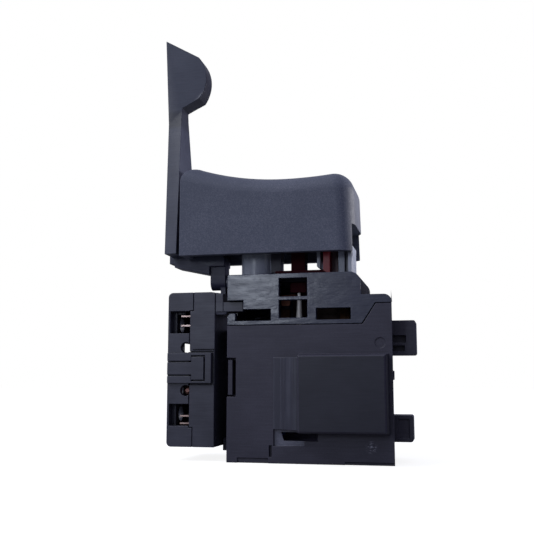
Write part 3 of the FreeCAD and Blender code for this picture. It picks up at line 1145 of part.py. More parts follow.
def resistors():
    """Two axial resistors standing off the front of the board."""
    pieces = []
    half = LEAD_HALF_WIDTH
    y = BOARD_FRONT - RESISTOR_RADIUS - half
    right = RESISTOR_LEFT + RESISTOR_LENGTH
    for z in RESISTOR_HEIGHTS:
        body = rod(RESISTOR_RADIUS, V(RESISTOR_LEFT, y, z), V(right, y, z))
        wire = box(RESISTOR_LEFT - WALL, right + WALL, y - half, y + half, z - half, z + half)
        feet = [lead_through(x, z, y) for x in (RESISTOR_LEFT - WALL + half, right + WALL - half)]
        pieces.append(joined(body, wire, *feet))
    return Part.makeCompound(pieces)


def varistor():
    """A round disc varistor on two leads."""
    y = BOARD_FRONT - DISC_THICKNESS - WALL
    disc = rod(DISC_RADIUS, V(DISC_X, y, DISC_Z), V(DISC_X, y + DISC_THICKNESS, DISC_Z))
    leads = [lead_through(DISC_X + step, DISC_Z, y + 1) for step in (-WALL, WALL)]
    return joined(disc, *leads)


PIECES = {
    "rear_case": rear_case,
    "front_cover": front_cover,
    "upper_frame": upper_frame,
    "contact_base": contact_base,
    "line_contact": line_contact,
    "load_contact": load_contact,
    "moving_bridge": moving_bridge,
    "guide_pin": guide_pin,
    "return_spring": return_spring,
    "contact_spring": contact_spring,
    "contact_carrier": contact_carrier,
    "track_board": track_board,
    "wiper": wiper,
    "trigger": trigger,
    "trigger_slide": trigger_slide,
    "direction_lever": direction_lever,
    "lever_pin": lever_pin,
    "module_case": module_case,
    "module_cover": module_cover,
    "changeover_slider": changeover_slider,
    "changeover_strips": changeover_strips,
    "upper_clamp": lambda: clamp_cage(UPPER_CAGE_BOTTOM, UPPER_CAGE_HEIGHT),
    "lower_clamp": lambda: clamp_cage(LOWER_CAGE_BOTTOM, LOWER_CAGE_HEIGHT),
    "motor_bar": motor_bar,
    "control_board": control_board,
    "capacitor": capacitor,
    "heat_sink": heat_sink,
    "triac": triac,
    "resistors": resistors,
    "varistor": varistor,
}

os.makedirs("parts", exist_ok=True)
for name, make in PIECES.items():
    make().exportStep(f"parts/{name}.step")
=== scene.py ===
import bmesh
import bpy
import json
import math
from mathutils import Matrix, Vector


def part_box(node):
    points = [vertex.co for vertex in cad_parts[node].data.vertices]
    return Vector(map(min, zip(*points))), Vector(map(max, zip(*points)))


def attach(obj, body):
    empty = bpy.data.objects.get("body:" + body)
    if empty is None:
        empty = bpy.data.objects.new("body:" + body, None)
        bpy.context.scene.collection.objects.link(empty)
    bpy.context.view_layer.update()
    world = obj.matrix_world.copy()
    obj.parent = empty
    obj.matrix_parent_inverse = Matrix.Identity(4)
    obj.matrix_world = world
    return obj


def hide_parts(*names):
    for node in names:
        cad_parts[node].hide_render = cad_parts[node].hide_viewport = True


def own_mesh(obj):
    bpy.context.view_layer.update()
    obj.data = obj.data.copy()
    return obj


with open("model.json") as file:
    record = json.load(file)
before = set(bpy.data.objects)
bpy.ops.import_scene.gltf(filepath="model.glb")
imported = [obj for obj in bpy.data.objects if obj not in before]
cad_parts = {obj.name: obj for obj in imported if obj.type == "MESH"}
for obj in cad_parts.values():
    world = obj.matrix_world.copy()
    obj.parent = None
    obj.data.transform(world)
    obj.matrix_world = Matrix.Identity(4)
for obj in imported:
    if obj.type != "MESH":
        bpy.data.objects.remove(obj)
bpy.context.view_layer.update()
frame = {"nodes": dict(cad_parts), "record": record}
MM = 0.001

# The photograph's viewpoint: the camera looks up a little at the switch from its right.
CAMERA_PLACE = Vector((28.44, -174.22, 16.74)) * MM
CAMERA_TARGET = Vector((-8.69, -9.96, 40.78)) * MM
CAMERA_LENS = 53.90
CAMERA_CLIP_START = 0.01
SENSOR_WIDTH = 36.0

# The studio is bright towards its axis, at the upper left, and dim at the other end.
WORLD_AXIS = (-0.60, -0.12, 0.79)
WORLD_LOW = -0.35
WORLD_HIGH = 0.75
WORLD_DIM = (0.10, 0.10, 0.19, 1.0)
WORLD_BRIGHT = (0.63, 0.65, 0.76, 1.0)
WHITE = (1.0, 1.0, 1.0, 1.0)

# The floor gives little light to the switch and looks pale to the camera.
FLOOR_HALF_WIDTH = 1.5
FLOOR_LEVEL = -0.05 * MM
FLOOR_BOUNCE = 0.22
FLOOR_SHADE = 0.35
FLOOR_GLOW = 0.86

# Each lamp's place, target and size in metres, its power in watts, tint and spread in degrees.
LAMPS = {
    "sheen_lamp": ((-0.088, -0.305, 0.078), (-0.013, -0.010, 0.036), 0.045, 0.062,
                   (0.80, 0.88, 1.0), 180.0),
    "rim_lamp": ((0.165, 0.075, 0.056), (0.005, 0.0, 0.061), 0.02, 0.006,
                 (1.0, 0.97, 0.94), 20.0),
    "key_lamp": ((-0.30, -0.22, 0.42), (0.0, 0.0, 0.04), 0.30, 1.0,
                 (0.95, 0.97, 1.0), 180.0),
}

# The scuffed spot's middle and radius, where the scuff's glint is painted lighter, and each
# painted shade band's low edge, high edge and softness.
SCUFF_AND_GLINT = (Vector((12.9, -10.0, 3.6)) * MM, 1.5 * MM)
PAD_FOOT_BAND = (75.5 * MM, 79.5 * MM, 0.5 * MM)
POST_BAND = (43.8 * MM, 80.0 * MM, 0.8 * MM)

# Noise scales, in waves to the metre.
CLOUD_SCALE = 160.0
STREAK_SCALE = 4200.0
SCUFF_AND_GLINT_SCALE = 2600.0
HAZE_SCALE = 900.0
RIPPLE_SCALE = 700.0
DRAWN_LINE_SCALE = 2600.0
PATCH_SCALE = 420.0

CLOUD_SHARE = 0.35
EDGE_RADIUS = 0.22 * MM
EDGE_WEAR = 0.5
EDGE_TURN = 0.86
EDGE_SAMPLES = 4
# Samples for the painted shade in gaps, and how far that painted shade reaches on metal.
OPENNESS_SAMPLES = 6
METAL_REACH = 8.0 * MM
DRAWN_LINE_HEIGHT = 0.01 * MM

WELD_DISTANCE = 0.002 * MM
ROUNDING = 0.12 * MM
ROUNDING_SEGMENTS = 2
ROUNDED_ABOVE = math.radians(32)
SMOOTH_BELOW = math.radians(25)
# The rounded rims carry the second material slot until their normals are set.
RIM_SLOT = 1

# Where the front cover's faces take a second material: a painted dark reflection on the block,
# painted shade on its right flank, and painted light on the ramp and in the pocket.
BLOCK_FACE_Y = -14.0 * MM
FRONT_Y = -10.0 * MM
FLANK_START_Y = FRONT_Y - 0.05 * MM
RAMP_SPAN = (-7.4 * MM, -1.5 * MM)
RAMP_BOTTOM = 8.0 * MM
POCKET_SPAN = (-7.4 * MM, 2.0 * MM)
POCKET_HEIGHTS = (2.0 * MM, 8.0 * MM)
POCKET_DEPTHS = (FRONT_Y + 0.1 * MM, FRONT_Y + 2.0 * MM)

# The right rim of the lever's pad, turned away from the light, is painted in shade above this
# height.
PAD_RIM_BOTTOM = 78.0 * MM

# How squarely a face looks along an axis: flat on it, turned to it, or leaning from it.
SQUARE_ON = 0.9
TURNED_TO = 0.8
LEANING = 0.5
SLIGHTLY_TURNED = 0.3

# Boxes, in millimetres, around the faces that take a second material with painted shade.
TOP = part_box("upper_frame")[1][2] / MM
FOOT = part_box("trigger")[0][2] / MM
ABOVE_FOOT = FOOT + 9.0
ZONES = {
    "carrier_in_housing": ((-9.0, -9.0, 0.0), (9.0, 9.0, TOP)),
    "red_stem": ((-5.2, -1.8, TOP + 1.2), (-1.8, 1.8, ABOVE_FOOT)),
    "red_ear": ((4.05, -2.0, TOP), (5.6, 5.0, ABOVE_FOOT)),
    "tube_key": ((-9.7, -1.6, TOP), (-7.2, 1.6, ABOVE_FOOT)),
    "guide_post": ((7.8, -4.6, TOP - 3.0), (8.9, -1.3, ABOVE_FOOT)),
    "frame_inside": ((-16.3, -8.4, 0.0), (14.0, 8.4, TOP - 1.2)),
    "lever_arm": ((-34.0, -9.0, TOP - 9.0), (-15.0, 9.0, FOOT - 0.3)),
}

# The rounded lip under the tie between the module and the housing; its lighter pocket material
# is a painted highlight.
LIP_START = Vector((-21.0, -8.1, 31.5)) * MM
LIP_END = Vector((-17.9, -8.1, 31.5)) * MM
LIP_RADIUS = 0.6 * MM
LIP_FLATNESS = 0.8
LIP_END_SHARE = 0.25
LIP_FULLNESS = 0.35
LIP_RINGS = 7
LIP_STEPS = 12

# The material slot and the finish of each moulding that is drawn with rounded edges.
FINISHES = {
    "rear_case": ("housing", "housing"), "front_cover": ("housing", "housing"),
    "upper_frame": ("frame", "frame"), "contact_base": ("frame", "frame"),
    "module_case": ("frame", "module"), "module_cover": ("frame", "module"),
    "trigger": ("trigger", "trigger"), "trigger_slide": ("slide", "slide"),
    "contact_carrier": ("red", "red"), "direction_lever": ("lever", "lever"),
    "changeover_slider": ("slide", "slide"),
}
# The finish of each part that keeps its own mesh.
CARRIED = {
    "line_contact": "brass", "load_contact": "brass", "moving_bridge": "copper",
    "guide_pin": "steel", "contact_spring": "spring",
    "track_board": "ceramic", "wiper": "brass", "lever_pin": "steel",
    "changeover_strips": "brass", "upper_clamp": "clip", "lower_clamp": "clip",
    "motor_bar": "stud", "control_board": "board", "capacitor": "capacitor",
    "heat_sink": "aluminium", "triac": "epoxy", "resistors": "resistor", "varistor": "disc",
}


def tone(red, green, blue):
    """Linear colour of a tone written in the usual 0 to 255 steps."""
    def linear(step):
        share = step / 255
        return share / 12.92 if share <= 0.04045 else ((share + 0.055) / 1.055) ** 2.4
    return (linear(red), linear(green), linear(blue), 1.0)


def darker(colour, share):
    """The colour at a share of its light."""
    return tuple(channel * share for channel in colour[:3]) + (1.0,)


def grey(light):
    return (light, light, light, 1.0)


def add_object(name, data):
    thing = bpy.data.objects.new(name, data)
    bpy.context.scene.collection.objects.link(thing)
    return thing


def aim(thing, place, target):
    """Puts a camera or lamp at the place, looking at the target."""
    thing.location = Vector(place)
    look = Vector(target) - thing.location
    thing.rotation_euler = look.to_track_quat("-Z", "Y").to_euler()


def add_camera():
    data = bpy.data.cameras.new("camera")
    data.lens = CAMERA_LENS
    data.sensor_width = SENSOR_WIDTH
    data.sensor_fit = "HORIZONTAL"
    data.clip_start = CAMERA_CLIP_START
    camera = add_object("camera", data)
    aim(camera, CAMERA_PLACE, CAMERA_TARGET)
    bpy.context.scene.camera = camera


def add_lamp(name, place, target, size, power, tint, spread):
    data = bpy.data.lights.new(name, "AREA")
    data.shape = "DISK"
    data.size = size
    data.energy = power
    data.color = tint
    data.spread = math.radians(spread)
    aim(add_object(name, data), place, target)


class Graph:
    """A material's node tree, with short calls for the nodes used here."""

    def __init__(self, name):
        self.material = bpy.data.materials.new(name)
        self.material.use_nodes = True
        self.nodes = self.material.node_tree.nodes
        self.links = self.material.node_tree.links
        self.nodes.clear()
        self.output = self.nodes.new("ShaderNodeOutputMaterial")
        self.shader = self.nodes.new("ShaderNodeBsdfPrincipled")
        self.links.new(self.shader.outputs[0], self.output.inputs["Surface"])
        self.where = self.nodes.new("ShaderNodeTexCoord").outputs["Object"]

    def link(self, start, end):
        self.links.new(start, end)

    def stretched(self, scale):
        mapping = self.nodes.new("ShaderNodeMapping")
        mapping.inputs["Scale"].default_value = scale
        self.link(self.where, mapping.inputs["Vector"])
        return mapping.outputs["Vector"]

    def noise(self, scale, detail, vector=None):
        node = self.nodes.new("ShaderNodeTexNoise")
        node.inputs["Scale"].default_value = scale
        node.inputs["Detail"].default_value = detail
        self.link(vector or self.where, node.inputs["Vector"])
        return node.outputs["Fac"]

    def remap(self, value, low, high, to_low, to_high):
        node = self.nodes.new("ShaderNodeMapRange")
        node.inputs["From Min"].default_value = low
        node.inputs["From Max"].default_value = high
        node.inputs["To Min"].default_value = to_low
        node.inputs["To Max"].default_value = to_high
        self.link(value, node.inputs["Value"])
        return node.outputs["Result"]

    def maths(self, operation, first, second):
        node = self.nodes.new("ShaderNodeMath")
        node.operation = operation
        for socket, value in zip(node.inputs, (first, second)):
            if isinstance(value, (int, float)):
                socket.default_value = value
            else:
                self.link(value, socket)
        return node.outputs[0]

    def mix(self, share, first, second):
        node = self.nodes.new("ShaderNodeMix")
        node.data_type = "RGBA"
        self.link(share, node.inputs["Factor"])
        for socket, value in ((node.inputs[6], first), (node.inputs[7], second)):
            if isinstance(value, tuple):
                socket.default_value = value
            else:
                self.link(value, socket)
        return node.outputs[2]

    def bump(self, height, distance, under=None):
        node = self.nodes.new("ShaderNodeBump")
        node.inputs["Distance"].default_value = distance
        node.inputs["Strength"].default_value = 1.0
        self.link(height, node.inputs["Height"])
        if under is not None:
            self.link(under, node.inputs["Normal"])
        return node.outputs["Normal"]

    def openness(self, reach):
        """From 0 deep in a gap to 1 on open faces; it masks the painted shade in gaps."""
        node = self.nodes.new("ShaderNodeAmbientOcclusion")
        node.samples = OPENNESS_SAMPLES
        node.inputs["Distance"].default_value = reach
        return node.outputs["AO"]

    def near(self, place, radius):
        """From 1 at the place to 0 at the radius from it."""
        node = self.nodes.new("ShaderNodeVectorMath")
        node.operation = "DISTANCE"
        self.link(self.where, node.inputs[0])
        node.inputs[1].default_value = place
        return self.remap(node.outputs["Value"], 0.0, radius, 1.0, 0.0)

    def level(self, low, high):
        """From 0 to 1 as the height goes from low to high."""
        split = self.nodes.new("ShaderNodeSeparateXYZ")
        self.link(self.where, split.inputs[0])
        return self.remap(split.outputs["Z"], low, high, 0.0, 1.0)

    def edge_wear(self):
        """From 0 on flat faces to 1 on rounded edges."""
        bevel = self.nodes.new("ShaderNodeBevel")
        bevel.samples = EDGE_SAMPLES
        bevel.inputs["Radius"].default_value = EDGE_RADIUS
        flat = self.nodes.new("ShaderNodeNewGeometry").outputs["Normal"]
        dot = self.nodes.new("ShaderNodeVectorMath")
        dot.operation = "DOT_PRODUCT"
        self.link(bevel.outputs["Normal"], dot.inputs[0])
        self.link(flat, dot.inputs[1])
        return self.remap(dot.outputs["Value"], 1.0, EDGE_TURN, 0.0, 1.0)


def moulded(name, colour, light, roughness, grain, grain_height, specular=0.4,
            crevice_shade=0.4, reach=3.0 * MM, speckle=0.0, streaks=0.12, run=(0.05, 0.3, 1.0),
            ripple=0.0, painted_shade_band=None, band_share=0.62, scuff_and_glint=None):
    """Moulded plastic: slow tone changes, grain, scuffs with a painted glint, lighter worn
    edges, painted shade in crevices and painted shade bands.
    """
    graph = Graph(name)
    shader = graph.shader
    slow = graph.remap(graph.noise(CLOUD_SCALE, 4.0), 0.3, 0.7, 0.0, CLOUD_SHARE)
    fine = graph.noise(grain, 3.0)
    lines = graph.noise(STREAK_SCALE, 2.0, graph.stretched(run))
    slow = graph.maths("ADD", slow, graph.remap(lines, 0.3, 0.7, -streaks, streaks))
    if speckle:
        slow = graph.maths("ADD", slow, graph.remap(fine, 0.35, 0.65, -speckle, speckle))
    body = graph.mix(slow, colour, light)
    # Painted shade: the colour darkens between the band's heights.
    if painted_shade_band:
        low, high, soft = painted_shade_band
        inside = graph.maths("MULTIPLY", graph.level(low - soft, low + soft),
                             graph.level(high + soft, high - soft))
        body = graph.mix(inside, body, darker(colour, band_share))
    # Scuff marks painted lighter: partly real scuffing, partly a painted glint on the scuffed
    # spot.
    if scuff_and_glint:
        place, radius = scuff_and_glint
        marks = graph.remap(graph.noise(SCUFF_AND_GLINT_SCALE, 4.0, graph.stretched((0.5, 1.0, 1.0))),
                            0.50, 0.66, 0.0, 1.0)
        body = graph.mix(graph.maths("MULTIPLY", graph.near(place, radius), marks), body,
                         tone(150, 152, 170))
    edges = graph.maths("MULTIPLY", graph.edge_wear(), EDGE_WEAR)
    worn = graph.mix(edges, body, light)
    # Painted shade: the colour darkens in gaps and crevices, where less light reaches.
    unshaded_share = graph.remap(graph.openness(reach), 0.15, 0.8, 0.0, 1.0)
    graph.link(graph.mix(unshaded_share, darker(colour, crevice_shade), worn), shader.inputs["Base Color"])
    haze = graph.noise(HAZE_SCALE, 3.0, graph.stretched((0.25, 1.0, 1.0)))
    graph.link(graph.remap(haze, 0.25, 0.75, roughness - 0.05, roughness + 0.06),
               shader.inputs["Roughness"])
    surface = graph.bump(fine, grain_height)
    if ripple:
        waves = graph.noise(RIPPLE_SCALE, 2.0, graph.stretched((0.4, 1.0, 1.0)))
        surface = graph.bump(waves, ripple, surface)
    graph.link(surface, shader.inputs["Normal"])
    shader.inputs["Specular IOR Level"].default_value = specular
    return graph.material


def metal(name, colour, dull, roughness, run=(1.0, 1.0, 0.12), crevice_shade=0.3, metallic=1.0):
    """Stamped or drawn metal with fine lines along the run, dull patches, and painted shade in
    gaps.
    """
    graph = Graph(name)
    shader = graph.shader
    lines = graph.noise(DRAWN_LINE_SCALE, 3.0, graph.stretched(run))
    patches = graph.remap(graph.noise(PATCH_SCALE, 3.0), 0.42, 0.68, 0.0, 0.8)
    sheet = graph.mix(patches, colour, dull)
    # Painted shade: the metal darkens in gaps, where less light reaches.
    unshaded_share = graph.remap(graph.openness(METAL_REACH), 0.2, 0.8, 0.0, 1.0)
    graph.link(graph.mix(unshaded_share, darker(dull, crevice_shade), sheet), shader.inputs["Base Color"])
    graph.link(graph.remap(lines, 0.2, 0.8, roughness - 0.08, roughness + 0.1),
               shader.inputs["Roughness"])
    graph.link(graph.bump(lines, DRAWN_LINE_HEIGHT), shader.inputs["Normal"])
    shader.inputs["Metallic"].default_value = metallic
    return graph.material


def make_materials():
    return {
        # The housing carries a scuffed spot, painted lighter as its scuff marks and their glint.
        "housing": moulded("housing_plastic", tone(44, 43, 58), tone(67, 66, 82), 0.46,
                           3800.0, 0.012 * MM, crevice_shade=0.7, reach=1.5 * MM, speckle=0.12,
                           scuff_and_glint=SCUFF_AND_GLINT),
        # Painted dark reflection: a darker copy of the housing plastic for the block's polished
        # front face.
        "block": moulded("block_face_painted_reflection", tone(27, 28, 41), tone(46, 47, 61), 0.40,
                         5200.0, 0.004 * MM),
        "frame": moulded("frame_plastic", tone(38, 42, 59), tone(66, 70, 88), 0.23,
                         2400.0, 0.008 * MM, 0.5, ripple=0.06 * MM),
        "module": moulded("module_plastic", tone(47, 48, 61), tone(78, 80, 94), 0.38,
                          3600.0, 0.010 * MM),
        "trigger": moulded("trigger_plastic", tone(71, 76, 93), tone(100, 104, 121), 0.58,
                           4600.0, 0.035 * MM, speckle=0.4, streaks=0.05),
        # Painted shade: the lever darkens in a band where the pad's foot dips away from the
        # light.
        "lever": moulded("lever_plastic", tone(47, 52, 70), tone(74, 79, 97), 0.40,
                         3000.0, 0.008 * MM, crevice_shade=0.6, painted_shade_band=PAD_FOOT_BAND),
        # Painted shade: a darker copy of the lever plastic for the arm in the trigger's shade.
        "arm": moulded("arm_plastic_painted_shade", tone(46, 48, 68), tone(68, 70, 90), 0.45,
                       3000.0, 0.008 * MM, crevice_shade=0.7),
        # Painted shade: a darker copy of the lever plastic for the pad's right rim, turned away
        # from the light.
        "rim": moulded("pad_rim_painted_shade", tone(34, 36, 50), tone(62, 66, 82), 0.45,
                       3000.0, 0.008 * MM, crevice_shade=0.7),
        "slide": moulded("slide_plastic", tone(170, 178, 194), tone(196, 202, 214), 0.30,
                         2000.0, 0.006 * MM, 0.5, crevice_shade=0.16, reach=6.0 * MM),
        # Painted light: the pocket's floor is painted lighter where it catches the light.
        "pocket": moulded("pocket_floor_painted_light", tone(92, 94, 110), tone(116, 118, 134), 0.24,
                          2400.0, 0.010 * MM, 0.5, crevice_shade=0.8, speckle=0.3),
        # Painted light: a lighter copy of the housing plastic for the ramp, with vertical
        # streaks that are tool marks and painted highlights on its step edges.
        "ramp": moulded("ramp_plastic_painted_light", tone(46, 47, 61), tone(76, 78, 92), 0.40,
                        3800.0, 0.010 * MM, crevice_shade=0.3, streaks=0.5, run=(0.35, 0.1, 0.01)),
        # Painted shade: the block's right flank, turned away from the light, is painted nearly
        # black.
        "flank": moulded("flank_plastic_painted_shade", tone(18, 19, 31), tone(40, 41, 54), 0.5,
                         3800.0, 0.010 * MM),
        # Painted shade: the pale post turns nearly black above the trigger's foot, where the
        # trigger shades it.
        "post": moulded("pale_post_painted_shade", tone(186, 192, 204), tone(206, 210, 220), 0.30,
                        2000.0, 0.006 * MM, crevice_shade=0.5, painted_shade_band=POST_BAND,
                        band_share=0.02),
        "red": moulded("red_plastic", tone(146, 38, 44), tone(182, 74, 76), 0.36,
                       2000.0, 0.006 * MM, crevice_shade=0.3, reach=5.0 * MM),
        # Painted shade: a dimmer, greyer copy of the red plastic for the carrier's ear.
        "dull_red": moulded("red_plastic_painted_half_shade", tone(134, 76, 86), tone(150, 96, 104), 0.42,
                            2000.0, 0.006 * MM, crevice_shade=0.1, reach=7.0 * MM),
        # Painted shade: a dark copy of the red plastic for the carrier inside the housing and
        # its stem in the trigger's shade.
        "dark_red": moulded("red_plastic_painted_shade", tone(64, 16, 26), tone(84, 26, 38), 0.7,
                            2000.0, 0.006 * MM, 0.08, crevice_shade=0.08, reach=7.0 * MM),
        # Painted shade: the brass is painted dark bronze for the contacts that sit in the
        # housing's shade.
        "brass": metal("brass_strip_painted_shade", tone(104, 76, 56), tone(64, 46, 36), 0.55,
                       crevice_shade=0.08),
        # Painted shade: a dark, rough copy of the frame plastic for the frame's inside faces.
        "inner": moulded("inner_faces_painted_shade", tone(26, 26, 38), tone(40, 40, 52), 0.7,
                         3000.0, 0.008 * MM, 0.1, crevice_shade=0.2, reach=6.0 * MM),
        "clip": metal("tinned_clip", tone(228, 208, 198), tone(196, 158, 146), 0.34),
        "stud": metal("copper_stud", tone(236, 190, 178), tone(206, 148, 136), 0.5,
                      crevice_shade=0.6, metallic=0.6),
        "copper": metal("copper_strip", tone(206, 148, 126), tone(150, 96, 78), 0.42,
                        crevice_shade=0.1),
        "steel": metal("bright_steel", tone(250, 249, 246), tone(220, 218, 212), 0.45,
                       crevice_shade=0.9, metallic=0.3),
        "spring": metal("spring_wire", tone(100, 100, 106), tone(66, 66, 72), 0.45,
                        (0.3, 0.3, 1.0), crevice_shade=0.08),
        "aluminium": metal("rolled_aluminium", tone(205, 206, 208), tone(168, 170, 172), 0.34),
        "board": moulded("board_laminate", tone(84, 80, 112), tone(104, 98, 128), 0.5,
                         1600.0, 0.01 * MM, crevice_shade=0.9),
        # Painted shade: the ceramic track board is painted dark brown, as it sits in the
        # housing's shade.
        "ceramic": moulded("ceramic_painted_shade", tone(72, 58, 54), tone(98, 82, 76), 0.6,
                           1600.0, 0.004 * MM, 0.1, crevice_shade=0.2, reach=7.0 * MM),
        "capacitor": moulded("capacitor_shell", tone(186, 150, 58), tone(212, 180, 96), 0.3,
                             1600.0, 0.004 * MM),
        "epoxy": moulded("dark_epoxy", tone(34, 34, 38), tone(58, 58, 62), 0.5,
                         3000.0, 0.01 * MM),
        "resistor": moulded("resistor_lacquer", tone(168, 136, 96), tone(196, 168, 128), 0.3,
                            2000.0, 0.004 * MM),
        "disc": moulded("dipped_disc", tone(40, 74, 142), tone(72, 104, 168), 0.28,
                        1200.0, 0.01 * MM),
    }


def show_to_camera(nodes, links, hidden, shown, output):
    """The camera sees one shader, and all else is lit by the other."""
    paths = nodes.new("ShaderNodeLightPath")
    mixer = nodes.new("ShaderNodeMixShader")
    links.new(paths.outputs["Is Camera Ray"], mixer.inputs["Fac"])
    links.new(hidden.outputs[0], mixer.inputs[1])
    links.new(shown.outputs[0], mixer.inputs[2])
    links.new(mixer.outputs[0], output.inputs["Surface"])


def make_world():
    """A soft studio: lighter above, dim at the level of the bench; the camera sees white."""
    world = bpy.data.worlds.new("studio")
    bpy.context.scene.world = world
    world.use_nodes = True
    nodes, links = world.node_tree.nodes, world.node_tree.links
    nodes.clear()
    output = nodes.new("ShaderNodeOutputWorld")
    light = nodes.new("ShaderNodeBackground")
    white = nodes.new("ShaderNodeBackground")
    white.inputs["Color"].default_value = WHITE
    place = nodes.new("ShaderNodeTexCoord")
    facing = nodes.new("ShaderNodeVectorMath")
    facing.operation = "DOT_PRODUCT"
    facing.inputs[1].default_value = WORLD_AXIS
    span = nodes.new("ShaderNodeMapRange")
    span.interpolation_type = "SMOOTHSTEP"
    span.inputs["From Min"].default_value = WORLD_LOW
    span.inputs["From Max"].default_value = WORLD_HIGH
    shade = nodes.new("ShaderNodeMix")
    shade.data_type = "RGBA"
    shade.inputs[6].default_value = WORLD_DIM
    shade.inputs[7].default_value = WORLD_BRIGHT
    links.new(place.outputs["Generated"], facing.inputs[0])
    links.new(facing.outputs["Value"], span.inputs["Value"])
    links.new(span.outputs["Result"], shade.inputs["Factor"])
    links.new(shade.outputs[2], light.inputs["Color"])
    show_to_camera(nodes, links, light, white, output)


def make_floor():
    mesh = bpy.data.meshes.new("floor")
    half = FLOOR_HALF_WIDTH
    corners = [(-half, -half), (half, -half), (half, half), (-half, half)]
    mesh.from_pydata([(x, y, FLOOR_LEVEL) for x, y in corners], [], [(0, 1, 2, 3)])
    floor = add_object("floor", mesh)
    graph = Graph("pale_floor")
    nodes, links = graph.nodes, graph.links
    plain = nodes.new("ShaderNodeBsdfDiffuse")
    plain.inputs["Color"].default_value = grey(FLOOR_BOUNCE)
    shown = nodes.new("ShaderNodeBsdfDiffuse")
    shown.inputs["Color"].default_value = grey(FLOOR_SHADE)
    glow = nodes.new("ShaderNodeEmission")
    glow.inputs["Strength"].default_value = FLOOR_GLOW
    both = nodes.new("ShaderNodeAddShader")
    links.new(shown.outputs[0], both.inputs[0])
    links.new(glow.outputs[0], both.inputs[1])
    show_to_camera(nodes, links, plain, both, graph.output)
    nodes.remove(graph.shader)
    mesh.materials.append(graph.material)


def body_of(node):
    for body, members in frame["record"]["behaviour"]["bodies"].items():
        if node in members:
            return body
    return None


def stand_for(piece, node):
    """The piece takes the node's place, on the node's body."""
    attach(piece, body_of(node))
    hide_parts(node)


def welded_copy(node):
    """A fresh mesh of the node with the corners of its facets joined."""
    mesh = frame["nodes"][node].data.copy()
    mesh.materials.clear()
    work = bmesh.new()
    work.from_mesh(mesh)
    bmesh.ops.remove_doubles(work, verts=work.verts, dist=WELD_DISTANCE)
    work.to_mesh(mesh)
    work.free()
    return mesh


def keep_flats_flat(mesh):
    """Normals that follow the moulding's own faces, so that only the rounded rims turn."""
    smooth_turn = math.cos(SMOOTH_BELOW)
    touching = [[] for _ in mesh.vertices]
    for face in mesh.polygons:
        for vertex in face.vertices:
            touching[vertex].append(face)
    normals = []
    for face in mesh.polygons:
        rim = face.material_index == RIM_SLOT
        for vertex in face.vertices:
            total = Vector()
            for other in touching[vertex]:
                if other.material_index == RIM_SLOT:
                    continue
                if rim or other.normal.dot(face.normal) > smooth_turn:
                    total += other.normal * other.area
            if total.length == 0:
                for other in touching[vertex]:
                    total += other.normal * other.area
            normals.append(total.normalized() if total.length else face.normal)
    for face in mesh.polygons:
        face.use_smooth = True
        face.material_index = 0
    mesh.normals_split_custom_set(normals)


def finished(node, material):
    """The node's moulding with its edges rounded; it takes the node's place."""
    mesh = welded_copy(node)
    mesh.materials.append(material)
    mesh.materials.append(material)
    piece = add_object(node + "_moulding", mesh)
    bevel = piece.modifiers.new("rounded_edges", "BEVEL")
    bevel.width = ROUNDING
    bevel.segments = ROUNDING_SEGMENTS
    bevel.limit_method = "ANGLE"
    bevel.angle_limit = ROUNDED_ABOVE
    bevel.use_clamp_overlap = False
    bevel.loop_slide = False
    bevel.material = RIM_SLOT
    shaped = piece.evaluated_get(bpy.context.evaluated_depsgraph_get())
    rounded = bpy.data.meshes.new_from_object(shaped)
    piece.modifiers.clear()
    piece.data = rounded
    keep_flats_flat(rounded)
    rounded.materials.pop()
    stand_for(piece, node)
    return piece


def coil_that_shortens(node, material):
    """The node's coil as a piece with its own mesh, which takes the node's place on its body."""
    mesh = welded_copy(node)
    mesh.materials.append(material)
    coil = add_object(node + "_coil", mesh)
    stand_for(coil, node)
    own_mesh(coil)


def rounded_bar(name, start, end, radius, material):
    """A small bar along X with softly rounded ends, flattened a little from front to back."""
    work = bmesh.new()
    rows = []
    for ring in range(LIP_RINGS):
        share = ring / (LIP_RINGS - 1)
        turn = math.pi * share
        x = start.x + (end.x - start.x) * (1 - math.cos(turn)) / 2
        fullness = math.sin(turn) ** LIP_FULLNESS
        size = radius * (LIP_END_SHARE + (1 - LIP_END_SHARE) * fullness)
        row = []
        for step in range(LIP_STEPS):
            angle = math.tau * step / LIP_STEPS
            row.append(work.verts.new((x, start.y + size * LIP_FLATNESS * math.cos(angle),
                                       start.z + size * math.sin(angle))))
        rows.append(row)
    for row, after in zip(rows, rows[1:]):
        for step in range(LIP_STEPS):
            follow = (step + 1) % LIP_STEPS
            work.faces.new((row[step], row[follow], after[follow], after[step]))
    work.faces.new(list(reversed(rows[0])))
    work.faces.new(rows[-1])
    bmesh.ops.recalc_face_normals(work, faces=work.faces)
    for face in work.faces:
        face.smooth = True
    mesh = bpy.data.meshes.new(name)
    work.to_mesh(mesh)
    work.free()
    mesh.materials.append(material)
    bar = add_object(name, mesh)
    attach(bar, "housing")


def paint_faces(node, finish, chosen):
    """Gives the faces of the node's piece that pass the test a second material."""
    mesh = pieces[node].data
    mesh.materials.append(materials[finish])
    index = len(mesh.materials) - 1
    for face in mesh.polygons:
        if chosen(face):
            face.material_index = index


def in_zone(zone):
    """A test for faces whose middle lies in the zone's box."""
    low, high = ZONES[zone]

    def chosen(face):
        place = face.center / MM
        return all(a < here < b for a, here, b in zip(low, place, high))
    return chosen


def faces_front(face):
    return face.normal.y < -SQUARE_ON


def on_block(face):
    return faces_front(face) and face.center.y < BLOCK_FACE_Y


def on_ramp(face):
    left, right = RAMP_SPAN
    return (face.normal.y < -LEANING and left < face.center.x < right
            and BLOCK_FACE_Y < face.center.y < FRONT_Y and face.center.z > RAMP_BOTTOM)


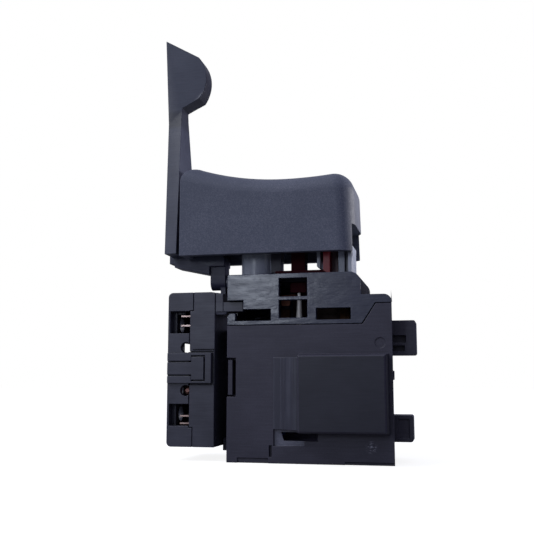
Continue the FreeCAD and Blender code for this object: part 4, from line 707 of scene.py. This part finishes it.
def on_flank(face):
    return face.normal.x > TURNED_TO and face.center.y < FLANK_START_Y


def on_pocket(face):
    left, right = POCKET_SPAN
    low, high = POCKET_HEIGHTS
    near, far = POCKET_DEPTHS
    return (faces_front(face) and left < face.center.x < right and low < face.center.z < high
            and near < face.center.y < far)


def on_pad_rim(face):
    return (face.center.z > PAD_RIM_BOTTOM and face.normal.x > SLIGHTLY_TURNED
            and abs(face.normal.y) < LEANING)


bpy.context.scene.view_settings.view_transform = "Standard"
materials = make_materials()
add_camera()
make_world()
make_floor()
for lamp, settings in LAMPS.items():
    add_lamp(lamp, *settings)

pieces = {}
for node, (slot, finish) in FINISHES.items():
    pieces[node] = finished(node, materials[finish])
coil_that_shortens("return_spring", materials["spring"])
for node, finish in CARRIED.items():
    for holder in frame["nodes"][node].material_slots:
        holder.material = materials[finish]

# The carrier inside the housing and its stem get painted shade.
paint_faces("contact_carrier", "dark_red", in_zone("carrier_in_housing"))
paint_faces("contact_carrier", "dark_red", in_zone("red_stem"))
# The carrier's ear gets painted half shade.
paint_faces("contact_carrier", "dull_red", in_zone("red_ear"))
# Painted shade: the grey slide's key is drawn in the dark housing plastic, in the trigger's
# shade.
paint_faces("trigger_slide", "housing", in_zone("tube_key"))
# The guide post gets the pale post material with its painted shade.
paint_faces("trigger_slide", "post", in_zone("guide_post"))
# The upper frame's inside faces get painted shade.
paint_faces("upper_frame", "inner", in_zone("frame_inside"))
# The lever's arm under the trigger gets painted shade.
paint_faces("direction_lever", "arm", in_zone("lever_arm"))
# The pad's right rim gets painted shade.
paint_faces("direction_lever", "rim", on_pad_rim)
# The block's front face gets a painted dark reflection.
paint_faces("front_cover", "block", on_block)
# The ramp gets painted light.
paint_faces("front_cover", "ramp", on_ramp)
# The block's right flank gets painted shade.
paint_faces("front_cover", "flank", on_flank)
# The pocket's floor gets painted light.
paint_faces("front_cover", "pocket", on_pocket)
# The tie's lip is drawn in the lighter pocket material as a painted highlight.
rounded_bar("tie_lip", LIP_START, LIP_END, LIP_RADIUS, materials["pocket"])
